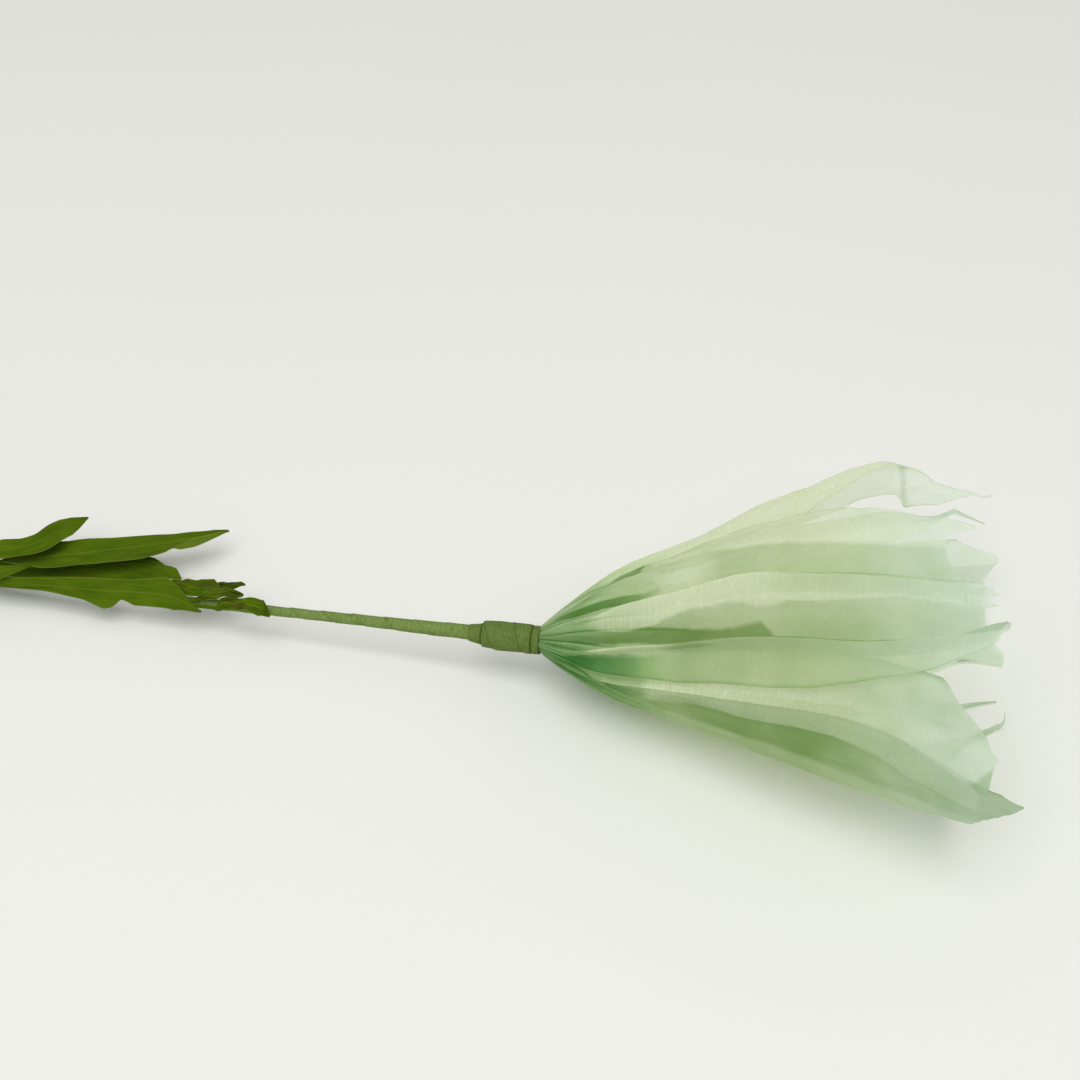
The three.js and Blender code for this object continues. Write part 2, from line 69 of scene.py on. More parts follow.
def beside_stem(back, bearing, radius):
    """A point beside the stem, back from the collar mouth; bearing 0 is the far side and 90 is up."""
    turn = math.radians(bearing)
    out = far_side * math.cos(turn) + stem_up * math.sin(turn)
    return collar_mouth - back * stem_along + radius * out


# %% [markdown]
# ## Camera, table and light
# The photograph looks down at the flower from about 39 degrees, a little from the right. The table is
# white card, and the light is one wide window overhead and in front, so shadows are faint and wide. The
# window and the room are set so that a colour renders about as it is written.

# %% Camera
CAMERA_TURN = math.radians(12.9)
CAMERA_RISE = math.radians(39)
to_camera = Vector((math.sin(CAMERA_TURN) * math.cos(CAMERA_RISE),
                    -math.cos(CAMERA_TURN) * math.cos(CAMERA_RISE),
                    math.sin(CAMERA_RISE)))
camera_right = Vector((math.cos(CAMERA_TURN), math.sin(CAMERA_TURN), 0))
camera_up = to_camera.cross(camera_right)
camera_at = (table_point + Vector((136.8, -593.4, 575))) * MM
bpy.ops.object.camera_add()
camera = bpy.context.object
camera.data.lens = 60.7
camera.data.sensor_width = 36
facing = Matrix((camera_right, camera_up, to_camera)).transposed()
camera.matrix_world = Matrix.Translation(camera_at) @ facing.to_4x4()
bpy.context.scene.camera = camera
bpy.context.scene.view_settings.view_transform = "Standard"
print("camera at", [round(x, 3) for x in camera_at])

# %% Soft light
world = bpy.data.worlds.new("soft_room")
world.use_nodes = True
bpy.context.scene.world = world
world.node_tree.nodes["Background"].inputs["Color"].default_value = (1.0, 1.0, 0.99, 1)
world.node_tree.nodes["Background"].inputs["Strength"].default_value = 0.5
bpy.ops.object.light_add(type="AREA", location=(0.15, -1.3, 2.9), rotation=(math.radians(31), 0, 0))
window = bpy.context.object
window.name = "overhead_window"
window.data.shape = "RECTANGLE"
window.data.size = 3.0
window.data.size_y = 3.0
window.data.energy = 75
print("lamps:", window.name, "and", world.name)

# %% [markdown]
# ## Shader sums
# A finish is a small net of nodes. Written with Python's own signs it reads like the sum that it is:
# the class below wraps a socket, and adding or multiplying it puts down a Math node. Every other kind
# of node comes from one method, which sets the node's settings first and its sockets after.


# %% Sockets that add up
class Socket:
    """An output of a finish's node, which can be used in sums."""

    def __init__(self, finish, output):
        self.finish = finish
        self.output = output

    def math(self, operation, first, second):
        return self.finish.node("ShaderNodeMath", {"operation": operation}, {0: first, 1: second})

    def __add__(self, other):
        return self.math("ADD", self, other)

    def __radd__(self, other):
        return self.math("ADD", other, self)

    def __sub__(self, other):
        return self.math("SUBTRACT", self, other)

    def __rsub__(self, other):
        return self.math("SUBTRACT", other, self)

    def __mul__(self, other):
        return self.math("MULTIPLY", self, other)

    def __rmul__(self, other):
        return self.math("MULTIPLY", other, self)

    def __abs__(self):
        return self.math("ABSOLUTE", self, 0)


class Finish:
    """A material in the making."""

    def __init__(self, name):
        self.material = bpy.data.materials.new(name)
        self.material.use_nodes = True
        self.tree = self.material.node_tree
        self.tree.nodes.clear()

    def node(self, kind, settings, sockets, out=0):
        made = self.tree.nodes.new(kind)
        for name, value in settings.items():
            setattr(made, name, value)
        for name, value in sockets.items():
            if isinstance(value, Socket):
                self.tree.links.new(value.output, made.inputs[name])
            else:
                made.inputs[name].default_value = value
        return Socket(self, made.outputs[out])

    def clamp01(self, value):
        return self.node("ShaderNodeClamp", {}, {"Value": value})

    def between(self, value, low, high):
        """0 below low, 1 above high, and a soft step between."""
        return self.node("ShaderNodeMapRange", {"interpolation_type": "SMOOTHSTEP"},
                         {"Value": value, "From Min": low, "From Max": high})

    def mix(self, share, first, second):
        return self.node("ShaderNodeMix", {"data_type": "RGBA"}, {0: share, 6: first, 7: second}, out=2)

    def matt(self, colour, relief, roughness, shine):
        return self.node("ShaderNodeBsdfPrincipled", {}, {
            "Base Color": colour, "Roughness": roughness, "Specular IOR Level": shine, "Normal": relief})

    def blend(self, share, first, second):
        """A surface that is partly one shader and partly another."""
        return self.node("ShaderNodeMixShader", {}, {0: share, 1: first, 2: second})

    def ramp(self, value, stops):
        """Colours at stops along 0..1, blended between them."""
        blended = self.node("ShaderNodeValToRGB", {}, {"Fac": value})
        elements = blended.output.node.color_ramp.elements
        for place, _ in stops[1:-1]:
            elements.new(place)
        for element, (place, colour) in zip(elements, stops):
            element.position = place
            element.color = (*colour, 1)
        return blended

    def flat_sheet(self):
        """Places on the flat sheet, in metres."""
        return self.node("ShaderNodeUVMap", {"uv_map": "UVMap"}, {})

    def mark(self, name):
        """A number that the mesh carries at each of its points."""
        return self.node("ShaderNodeAttribute", {"attribute_name": name}, {}, out=2)

    def cells(self, coordinates, size, turn=0.0, shift=0.0):
        """Coordinates counted in cells of a size in millimetres, turned about Z and shifted."""
        return self.node("ShaderNodeMapping", {"vector_type": "TEXTURE"},
                         {"Vector": coordinates, "Location": (shift * MM, 0, 0), "Rotation": (0, 0, turn),
                          "Scale": (size[0] * MM, size[1] * MM, MM)})

    def cloud(self, coordinates, detail=2.0, swirl=0.0):
        """Soft noise, one blob to each cell."""
        return self.node("ShaderNodeTexNoise", {},
                         {"Vector": coordinates, "Scale": 1.0, "Detail": detail, "Distortion": swirl})

    def bump(self, height, distance, strength=1.0):
        return self.node("ShaderNodeBump", {},
                         {"Height": height, "Distance": distance, "Strength": strength})

    def show(self, surface):
        output = self.tree.nodes.new("ShaderNodeOutputMaterial")
        self.tree.links.new(surface.output, output.inputs["Surface"])
        return self.material


print("shader sums are ready")

# %% [markdown]
# ## Petal paper: fibres
# Mulberry paper is thin and cloudy, and long white fibres lie in it every way. They could be drawn one
# by one as curves. Here they are the contour lines of slow noise, drawn out in four directions, which
# gives long curling threads and no faces. The finer streaks are left by the screen that the sheet was
# made on. The pattern follows each sheet's own UV map, which is measured in metres on the flat paper.

# %% Fibres in the paper
FIBRES = [
    # size in millimetres, turn in radians, shift in millimetres
    ((15, 2.6), 0.5, 0),
    ((13, 2.2), 1.25, 300),
    ((12, 2.8), 2.0, 600),
    ((14, 3.0), 2.8, 900),
]
petal = Finish("petal_paper")
sheet_uv = petal.flat_sheet()


def threads(finish, coordinates, size, turn, shift):
    """Long thin fibres: the contour lines of drawn-out noise, broken into lengths by a second noise."""
    slow = finish.cloud(finish.cells(coordinates, size, turn, shift), 0)
    line = 1 - finish.between(abs(slow - 0.5), 0, 0.018)
    patch = finish.cells(coordinates, (0.6 * size[0], size[1]), turn, shift + 50)
    return line * finish.between(finish.cloud(patch, 0), 0.5, 0.62)


fibres = petal.clamp01(sum(threads(petal, sheet_uv, *fibre) for fibre in FIBRES))
streaks = petal.cloud(petal.cells(sheet_uv, (0.9, 6), 0.2), 3, swirl=0.5)
clouds = petal.cloud(petal.cells(sheet_uv, (14, 14)), 4)
uneven = (clouds - 0.5) * 0.2 + (streaks - 0.5) * 0.06
relief = petal.bump(fibres * 0.3 + streaks * 0.1 + clouds * 1.2, 0.0004, 0.35)
print("fibres, streaks and clouds take", len(petal.tree.nodes), "nodes")

# %% [markdown]
# ## Petal paper: dye and light
# The sheets were dipped in dye at the foot, so they run from leaf green at the collar to nearly white,
# and a little cooler, at the tips. Each sheet carries three marks: how much dye it took, together with
# painted shade in its folds and painted light on its lit faces; painted shade where another layer lies
# over it or it turns from the light; and where its face is chalky with loose fibres and a painted
# highlight. Light comes through the paper and the layer below shows faintly, so the surface is part
# matt, part glowing through and part clear. Where it is dyed, chalky or under painted shade it is less
# clear.

# %% Colour of the paper
MOST_DYE = 1.5
TIP_FROM, TIP_TO = 0.12, 0.19
# The ramp draws the dye mark, and with it the painted shade and painted light that the mark carries.
DIPPED_COLOURS = [
    (0.0, (0.95, 0.97, 0.88)), (0.1, (0.81, 0.92, 0.69)), (0.2, (0.56, 0.77, 0.45)),
    (0.33, (0.37, 0.63, 0.29)), (0.47, (0.24, 0.52, 0.19)), (0.57, (0.14, 0.42, 0.11)),
    (0.8, (0.05, 0.27, 0.06)), (1.0, (0.03, 0.15, 0.05)),
]
PALE_TIP = (0.90, 0.96, 0.93, 1)
GREEN_TIP = (0.20, 0.48, 0.26, 1)
# The colours of painted shade, warm near the foot and cool towards the tips.
WARM_SHADE = (0.25, 0.37, 0.05, 1)
COOL_SHADE = (0.27, 0.43, 0.19, 1)
FIBRE_AND_HIGHLIGHT_WHITE = (0.97, 0.98, 0.95, 1)

# The chalk mark whitens loose fibres and paints a highlight on lit faces.
chalk_and_highlight = petal.mark("chalk_and_highlight")
# The dye mark also holds painted shade and painted light; some random unevenness is added to it.
dye_with_painted_light = petal.clamp01((petal.mark("dye_and_painted_light") + uneven) * (1 / MOST_DYE))
# Painted shade from the shade mark, made uneven.
shadow = petal.clamp01(petal.mark("shade") + uneven)
tip = petal.between(petal.node("ShaderNodeSeparateXYZ", {}, {0: sheet_uv}), TIP_FROM, TIP_TO)
# Fibres and streaks are whiter under the chalk mark, as a painted highlight, and hide under dye and painted
# shade.
hairs_and_highlight = fibres * (0.25 + chalk_and_highlight * 0.3) + petal.between(streaks, 0.48, 0.72) * (0.07 + chalk_and_highlight * 0.45)
hairs_and_highlight = petal.clamp01(hairs_and_highlight * (1 - dye_with_painted_light) * (1 - shadow))
paper = petal.mix(tip * 0.6, petal.ramp(dye_with_painted_light, DIPPED_COLOURS), petal.mix(dye_with_painted_light, PALE_TIP, GREEN_TIP))
paper = petal.mix(shadow, paper, petal.mix(tip, WARM_SHADE, COOL_SHADE))
paper = petal.mix(petal.clamp01(hairs_and_highlight + chalk_and_highlight * 0.3), paper, FIBRE_AND_HIGHLIGHT_WHITE)
print("with its colour the paper has", len(petal.tree.nodes), "nodes")


# %% Light through the paper
def petal_glow(colour):
    return petal.node("ShaderNodeBsdfTranslucent", {}, {"Color": colour, "Normal": relief})


matt = petal.matt(paper, relief, 0.75, 0.2)
pale_glow = petal.blend(tip, petal_glow((0.95, 0.98, 0.77, 1)), petal_glow((0.91, 0.99, 0.92, 1)))
# The glow also darkens under the dye and the painted shade.
deep = petal.clamp01(dye_with_painted_light * 1.6 + shadow * 0.8)
glow = petal.blend(deep, pale_glow, petal_glow((0.24, 0.47, 0.13, 1)))
clear = petal.node("ShaderNodeBsdfTransparent", {}, {"Color": (0.985, 1.0, 0.955, 1)})
thin = petal.clamp01(0.64 - hairs_and_highlight * 0.3 - dye_with_painted_light * 1.1 - shadow * 0.4 - chalk_and_highlight * 0.45)
petal_paper = petal.show(petal.blend(thin, petal.blend(0.65, matt, glow), clear))
print("petal paper has", len(petal.tree.nodes), "nodes")

# %% [markdown]
# ## The shape of the closed head
# The eleven petals lie on one bell, flattened by the table, and lap over each other like the folds of a
# closed umbrella. Each has a middle fold that stands out of the bell and two flanks that fall to its
# seams. These are the same curves as in the CAD, so the sheets land where the solids are.

# %% Numbers that vary smoothly
NECK_R = 4.325
FOOT_LENGTH = 14
FOOT_OUT = 1.5
FOOT_LAP = 0.9
FOOT_EDGE = 0.5
HEAD_LENGTH = 200
HEAD_TURN = math.radians(4.9)
HEAD_RISE = math.radians(9.5)
SHOULDER = 7.5
SIDE_FLARE = 0.485
TOP_FLARE = 0.24
UNDER_FLARE = 0.22
MOUTH_CLOSING = 0.0012
PETAL_LAP = 4.5
TABLE_PRESS = 4
MOST_LAP = 0.8
LAP_LINE = 0.75
head_side = Vector((-math.sin(HEAD_TURN), math.cos(HEAD_TURN), 0))
head_along = Vector((math.cos(HEAD_TURN) * math.cos(HEAD_RISE),
                     math.sin(HEAD_TURN) * math.cos(HEAD_RISE), math.sin(HEAD_RISE)))
head_up = head_along.cross(head_side)


def clamp(value, low=0.0, high=1.0):
    return min(max(value, low), high)


def lerp(first, second, share):
    return first + (second - first) * share


def smooth(value, low, high):
    share = clamp((value - low) / (high - low))
    return share * share * (3 - 2 * share)


def tent(value, peak, reach):
    """1 at the peak, falling straight to 0 on both sides of it."""
    return max(0, 1 - abs(value - peak) / reach)


def through(values, share):
    """A smooth curve through values that are spaced evenly over 0..1."""
    x = clamp(share) * (len(values) - 1)
    i = min(int(x), len(values) - 2)
    f = x - i
    b, c = values[i], values[i + 1]
    a = values[i - 1] if i else b
    d = values[i + 2] if i + 2 < len(values) else c
    return b + 0.5 * f * (c - a + f * (2 * a - 5 * b + 4 * c - d + f * (3 * (b - c) + d - a)))


def polyline(pairs, x):
    """Straight lines through (x, value) pairs, level beyond the ends."""
    for (x0, v0), (x1, v1) in zip(pairs, pairs[1:]):
        if x < x1:
            return lerp(v0, v1, clamp((x - x0) / (x1 - x0)))
    return pairs[-1][1]


print("head axis:", [round(x, 3) for x in head_along])


# %% The bell
def bell_halves(along, bearing):
    """Half the bell's width and height at a distance along it, on the side of a bearing."""
    x = max(along, 0)
    swell = NECK_R + SHOULDER * (1 - math.exp(-x / 12))
    drawn_in = MOUTH_CLOSING * max(x - 0.65 * HEAD_LENGTH, 0) ** 2
    flare = TOP_FLARE if math.sin(math.radians(bearing)) >= 0 else UNDER_FLARE
    return swell + SIDE_FLARE * x - drawn_in, swell + flare * x


def bell_point(along, bearing, height):
    """A point at a height outside the bell; the table presses flat what would sink into it."""
    if along <= FOOT_OUT:
        return beside_stem(-along, bearing, NECK_R + height)
    half, rise = bell_halves(along, bearing)
    c, s = math.cos(math.radians(bearing)), math.sin(math.radians(bearing))
    slant = math.hypot(rise * c, half * s)
    point = (collar_mouth + head_along * along
             + head_side * (half * c + height * rise * c / slant)
             + head_up * (rise * s + height * half * s / slant))
    if point.z < TABLE_PRESS:
        point.z = TABLE_PRESS * math.exp(point.z / TABLE_PRESS - 1)
    return point


print("half width and height at the mouth:", [round(x) for x in bell_halves(HEAD_LENGTH, 90)])

# %% [markdown]
# ## The petals' pattern pieces
# A maker cuts each petal to its own pattern. Its mesh could be shaped by hand, but then a fold or a hem
# is hard to move later, so here each petal is a few numbers. There is one entry per petal, in order
# round the head from the far side over the top. Bearings are angles round the head: 0 is the far side
# and 90 is up.

# %% Pattern pieces
UNCUT = [(0, 1)]
THIN_TIP = [(0.4, 1), (0.7, 0.85), (0.8, 0.45), (0.88, 0.07), (0.95, 0.04), (1, 0.005)]
BLUNT_TIP = [(0.4, 1), (0.7, 0.9), (0.85, 0.4), (0.92, 0.1), (1, 0.03)]
PETALS = [
    # fold: bearings of the middle fold at each quarter of the head; high, soft: its height and roundness
    # sides: pairs of (share of the length, share of the width that is left) for the two sides of the fold
    # hem: pairs of (place across the petal, how far it reaches along the head)
    # seam: with the next petal. at: place between the folds; over: 1 where this petal lies outside
    dict(fold=[54, 46, 39, 30, -11], high=7, soft=1.3, hem=[(0, 1.02)],
         sides=([(0.647, 0.9), (0.7, 0.75), (0.755, 0.72), (0.78, 0.65), (0.79, 0.75), (0.8, 0.9),
                 (0.836, 0.68), (0.863, 0.48), (0.89, 0.34), (0.926, 0.1), (0.96, 0.02), (1, 0.006)],
                [(0.39, 1), (0.49, 0.9), (0.59, 0.6), (0.69, 0.36), (0.785, 0.2), (0.803, 0.11),
                 (0.825, 0.04), (0.863, 0.015), (0.96, 0.015), (1, 0.006)]),
         seam=dict(at=0.52, level=2, lap=6, over=-1)),
    dict(fold=[87, 68, 78, 89, 98], high=6, soft=1.5,
         hem=[(-1, 0.965), (0, 0.963), (0.07, 0.908), (0.25, 0.9), (0.44, 0.905), (0.65, 0.936), (1, 0.94)],
         sides=([(0.4, 1), (0.5, 0.9), (0.664, 0.59), (0.861, 0.164), (0.931, 0.087), (1, 0.02)], UNCUT),
         seam=dict(at=0.86, level=0, lap=3, over=-1)),
    dict(fold=[119, 110, 103, 109, 117], high=9, soft=1.0,
         hem=[(-1, 0.972), (-0.1, 0.972), (0.1, 1.0), (0.18, 0.972), (0.28, 1.0), (0.33, 0.968), (1, 0.95)],
         sides=(UNCUT, UNCUT),
         seam=dict(at=0.88, level=-5, lap=2.5, over=-1)),
    dict(fold=[152, 138, 130, 130, 127], high=9, soft=1.0,
         hem=[(-1, 0.975), (-0.4, 1.0), (0, 1.016), (0.5, 1.01), (1, 0.99)],
         sides=([(0.98, 1), (1, 0.6)],
                [(0.09, 0.8), (0.2, 0.82), (0.34, 0.9), (0.43, 0.83), (0.53, 0.82), (0.62, 0.75),
                 (0.74, 0.49), (0.85, 0.32), (0.9, 0.21), (0.95, 0.14), (1, 0.04)]),
         seam=dict(at=0.5, level=5, lap=11, over=1)),
    dict(fold=[185, 166, 158, 157, 176], high=7, soft=1.4,
         hem=[(-1, 0.885), (-0.98, 0.897), (-0.94, 0.905), (-0.85, 0.945), (-0.8, 0.963), (-0.65, 0.982),
              (-0.5, 0.972), (-0.2, 0.963), (0.83, 0.945), (1, 0.926)],
         sides=(UNCUT,
                [(0.15, 0.55), (0.21, 0.95), (0.31, 1), (0.38, 0.65), (0.5, 0.76), (0.6, 0.64), (0.68, 0.64),
                 (0.76, 0.78), (0.83, 1), (1, 1)]),
         seam=dict(at=0.18, level=3, lap=8, over=1)),
    dict(fold=[217, 203, 200, 205, 215], high=4, soft=1.3,
         hem=[(-1, 0.985), (-0.92, 1.03), (-0.75, 0.99), (-0.5, 0.95), (0, 0.92), (1, 0.9)],
         sides=(UNCUT, [(0.7, 1), (1, 0.7)]),
         seam=dict(at=0.5, level=0, lap=6, over=1)),
    dict(fold=[250, 238, 234, 243, 268], high=5, soft=1.3, hem=[(0, 1.058)],
         sides=(THIN_TIP, THIN_TIP),
         seam=dict(at=0.5, level=0, lap=7, over=1)),
    dict(fold=[283, 268, 260, 265, 277], high=5, soft=1.3, hem=[(0, 1.0)],
         sides=(BLUNT_TIP, BLUNT_TIP),
         seam=dict(at=0.5, level=0, lap=7, over=1)),
    dict(fold=[316, 298, 287, 287, 290], high=6, soft=1.3,
         hem=[(-1, 0.84), (-0.5, 0.86), (-0.3, 0.885), (-0.15, 0.94), (-0.05, 1.02), (0.3, 1.028),
              (0.5, 1.0), (1, 0.985)],
         sides=(UNCUT, UNCUT),
         seam=dict(at=0.5, level=0, lap=7, over=-1)),
    dict(fold=[348, 330, 316, 314, 318], high=8, soft=1.3,
         hem=[(-1, 0.985), (0.18, 0.99), (0.7, 1.019), (0.78, 1.028), (0.83, 1.019), (0.88, 0.99),
              (0.92, 0.963), (1, 0.93)],
         sides=(UNCUT, UNCUT),
         seam=dict(at=0.5, level=0, lap=7, over=-1)),
    dict(fold=[381, 366, 352, 348, 338], high=8, soft=1.3, hem=[(0, 1.0)],
         sides=([(0.4, 1), (0.55, 0.85), (0.7, 0.5), (0.83, 0.2), (0.88, 0.13), (0.91, 0.09),
                 (0.95, 0.03), (1, 0.02)],
                [(0.4, 1), (0.55, 0.8), (0.7, 0.45), (0.83, 0.2), (0.88, 0.16), (0.91, 0.11),
                 (0.95, 0.03), (1, 0.02)]),
         seam=dict(at=0.5, level=0, lap=7, over=-1)),
]
COUNT = len(PETALS)
print(COUNT, "petals")

# %% [markdown]
# ## Creases
# What makes the sheets look like folded paper is a few long creases, each a ridge or a valley along a
# line on the petal. A line is given by its place across the petal (-1 and 1 are the edges) at even
# steps along it. Between creases the paper stays flat, so each one is a tent and not a wave. Near the
# mouth one petal is also creased across, one tip rolls up, and three tails bend to one side.

# %% Crease lines
CREASES = {
    # span: where the line starts and ends along the head; amount: how far it stands out of the bell
    # wide: how far the tent reaches on the line's two sides
    0: [dict(line=[0, 0], span=(0.35, 0.95), amount=3, wide=(0.6, 0.6))],
    1: [dict(line=[0.2, 0.35, 0.43, 0.5, 0.56], span=(0.03, 0.3), amount=-2.2, wide=(0.2, 0.25))],
    2: [dict(line=[0.18, 0.4, 0.43, 0.32, 0.32, 0.38, 0.35, 0.3, 0.25, 0.3], span=(0.12, 1.1), amount=4.5,
             wide=(0.4, 0.5)),
        dict(line=[0, 0], span=(0.15, 0.6), amount=2.5, wide=(0.5, 0.4))],
    3: [dict(line=[0.25, 0.3, 0.3, 0.34, 0.4], span=(0.02, 0.45), amount=2.0, wide=(0.3, 0.3)),
        dict(line=[0.85, 0.82, 0.85], span=(0.03, 0.36), amount=-1.0, wide=(0.25, 0.15)),
        dict(line=[-0.2, -0.15], span=(0.9, 1.3), amount=8, wide=(0.5, 0.35))],
    4: [dict(line=[-0.8, -0.75, -0.7, -0.75, -0.8], span=(0.2, 1.0), amount=1.8, wide=(0.15, 0.5))],
}
# petal: amount out of the bell, place along the head, reach along the head
CROSS_CREASES = {0: (-2.5, 0.815, 0.05)}
# petal: degrees round the head, place along the head, reach along the head
TAIL_BENDS = {0: (-6, 0.885, 0.085), 8: (3, 0.93, 0.09), 10: (6.6, 0.93, 0.08)}
# petal: where the roll starts along the head, its radius in millimetres
TIP_ROLLS = {6: (0.957, 12)}
NOT_BENT = (0, 0, 1)
NOT_ROLLED = (2, 1)


def along_lines(creases, share, across):
    """The sum of the tents that stand along the crease lines."""
    total = 0
    for crease in creases:
        start, end = crease["span"]
        way = (share - start) / (end - start)
        if 0 < way < 1:
            off = across - through(crease["line"], way)
            reach = crease["wide"][0 if off < 0 else 1]
            fade = smooth(way, 0, 0.25) * (1 - smooth(way, 0.75, 1))
            total += crease["amount"] * fade * tent(off, 0, reach)
    return total


print("creases on", len(CREASES), "petals")

# %% [markdown]
# ## Painted shade, dye and chalk
# Painted shade darkens the paper where another layer lies over it, in the valleys between the folds,
# on faces turned away from the light and on the lower petals. The dye mark is raised for painted shade
# in the folds near the foot and lowered for painted light on lit faces, and chalky places carry a painted
# highlight. These places have clear borders, which a grain or noise can't give. Each is a region between
# two lines along the petal, with its strength at shares of the head's length.


# %% Painted shade
def region(strength, top=((0, -1.2),), low=((0, 1.2),), edge=(0.1, 0.1)):
    """A place on a petal between two lines, from edge to edge if none is given; edge is their softness."""
    return dict(strength=strength, top=top, low=low, edge=edge)


def strength_at(regions, share, across):
    """The sum of the regions that a point lies in."""
    total = 0
    for part in regions:
        top, low = polyline(part["top"], share), polyline(part["low"], share)
        above = smooth(across, top - part["edge"][0], top)
        below = 1 - smooth(across, low, low + part["edge"][1])
        total += above * below * polyline(part["strength"], share)
    return total


PLEAT_TOP = [(0.062, 0.15), (0.1, 0.25), (0.146, 0.35), (0.214, 0.43), (0.298, 0.55)]
PLEAT_LOW = [(0.062, 0.25), (0.112, 0.43), (0.176, 0.53), (0.241, 0.62), (0.293, 0.6)]
VALLEY_LOW = [(0.146, 0.62), (0.24, 0.65), (0.295, 0.72), (0.389, 0.8)]
# Painted shade for each petal: where another layer lies over it, in the valleys beside its folds, on faces
# turned from the light, on the lowest petal and on the tips deep in the mouth.
PAINTED_SHADE = {
    0: [region([(0.805, 0), (0.813, 0.35), (0.817, 0.35), (0.825, 0)])],
    1: [region([(0.37, 0), (0.43, 0.45), (0.8, 0.37), (0.95, 0.24)],
               top=[(0.267, 0.15), (0.378, 0.12), (0.508, 0.15), (0.647, 0.23), (0.81, 0.3)]),
        region([(0.5, 0), (0.7, 0.05)]),
        region([(0.06, 0.2), (0.15, 0.5), (0.25, 0.8), (0.272, 0.8), (0.276, 0)], edge=(0.03, 0.03),
               top=[(0.1, 0), (0.146, -0.1), (0.18, -0.12), (0.215, -0.25), (0.243, -0.55), (0.274, -0.8)],
               low=[(0.1, 0.05), (0.173, 0.1), (0.246, 0.1), (0.262, -0.2), (0.274, -0.7)]),
        region([(0.03, 0.2), (0.1, 0.5), (0.2, 0.5), (0.28, 0.45), (0.31, 0)], edge=(0.03, 0.02),
               top=PLEAT_TOP, low=PLEAT_LOW),
        region([(0.1, 0.14), (0.16, 0.3), (0.28, 0.25), (0.33, 0)], edge=(0.05, 0.015),
               top=[(0.133, 0.18), (0.161, 0.24), (0.193, 0.33), (0.221, 0.32), (0.263, 0.33), (0.314, 0.5)],
               low=[(0.133, 0.22), (0.161, 0.28), (0.193, 0.38), (0.221, 0.4), (0.263, 0.47),
                    (0.314, 0.55)])],
    2: [region([(0.5, 0), (0.6, 0.1), (0.7, 0.22), (1, 0.06)]),
        region([(0.1, 0), (0.22, 0.25), (0.95, 0.11)], low=[(0, -0.07)], edge=(0.1, 0.04)),
        region([(0.08, 0.1), (0.18, 0.4), (0.35, 0.4), (0.43, 0.3), (0.6, 0.36), (0.9, 0.13), (1, 0.07)],
               top=[(0.134, 0.18), (0.174, 0.35), (0.217, 0.43), (0.272, 0.43), (0.329, 0.35), (0.37, 0.3),
                    (0.413, 0.33), (0.451, 0.3), (0.475, 0.35), (0.545, 0.4), (0.581, 0.35), (0.667, 0.33),
                    (0.728, 0.3), (0.808, 0.25), (0.886, 0.28), (0.923, 0.35)],
               low=VALLEY_LOW + [(0.45, 1.2)], edge=(0.02, 0.03)),
        region([(0.1, 0.1), (0.25, 0.25), (0.38, 0.5), (0.54, 0.5), (0.58, 0)], edge=(0.05, 0.03),
               top=[(0.155, 0.4), (0.272, 0.45), (0.327, 0.53), (0.382, 0.58), (0.437, 0.61), (0.48, 0.6),
                    (0.524, 0.58), (0.556, 0.75), (0.57, 1)],
               low=VALLEY_LOW + [(0.5, 1.2)])],
    3: [region([(0.1, 0), (0.29, 0.2), (0.36, 0.5), (0.7, 0.4), (1, 0.2)]),
        region([(0.1, 0), (0.25, 0.22), (0.95, 0.11)], low=[(0, -0.07)], edge=(0.1, 0.04)),
        region([(0.96, 0), (0.98, 0.04)], low=[(0, -0.1)], edge=(0.04, 0.1))],
    4: [region([(0.6, 0), (0.75, 0.14), (1, 0.12)], low=[(0, -0.8)], edge=(0.1, 0.03)),
        region([(0.1, 0.2), (0.255, 0.25), (0.27, 0), (0.45, 0.04), (0.6, 0.13), (0.9, 0.25), (1, 0.18)]),
        region([(0.3, 0), (0.5, 0.13), (0.7, 0.12), (0.9, 0.06), (1, 0)], edge=(0.03, 0.1),
               top=[(0.3, -0.8), (0.437, -0.75), (0.52, -0.7), (0.7, -0.75), (0.9, -0.8)]),
        region([(0.27, 0), (0.3, 0.36), (0.4, 0.36), (0.48, 0)], edge=(0.05, 0.1),
               top=[(0.253, 0.98), (0.308, 0.85), (0.345, 0.87), (0.382, 0.93), (0.419, 0.97)]),
        region([(0.925, 0), (0.93, 0.35)], edge=(0.02, 0.02),
               top=[(0.929, -0.07), (0.977, -0.52)], low=[(0.929, 0), (0.946, 0.8)])],
    5: [region([(0.1, 0.04), (0.3, 0.45), (0.5, 0.5), (0.6, 0.45), (0.75, 0.28), (1, 0.3)],
               low=[(0, 0.9)], edge=(0.1, 0.25)),
        region([(0.2, 0.04), (0.4, 0.2), (0.65, 0.2), (0.85, 0.1)], low=[(0, -0.45)], edge=(0.1, 0.15)),
        region([(0.2, 0), (0.3, 0.24), (0.6, 0.2), (0.85, 0)], top=[(0, 0.4)], edge=(0.2, 0.1))],
    6: [region([(0.85, 0.07), (0.95, 0.4)])],
    7: [region([(0.85, 0.07), (0.95, 0.4)])],
    8: [region([(0.8, 0), (0.95, 0.17)])],
    9: [region([(0.8, 0), (0.95, 0.17)])],
    10: [region([(0.8, 0.04), (0.9, 0.22)])],
}
print("darker places:", sum(len(regions) for regions in PAINTED_SHADE.values()))
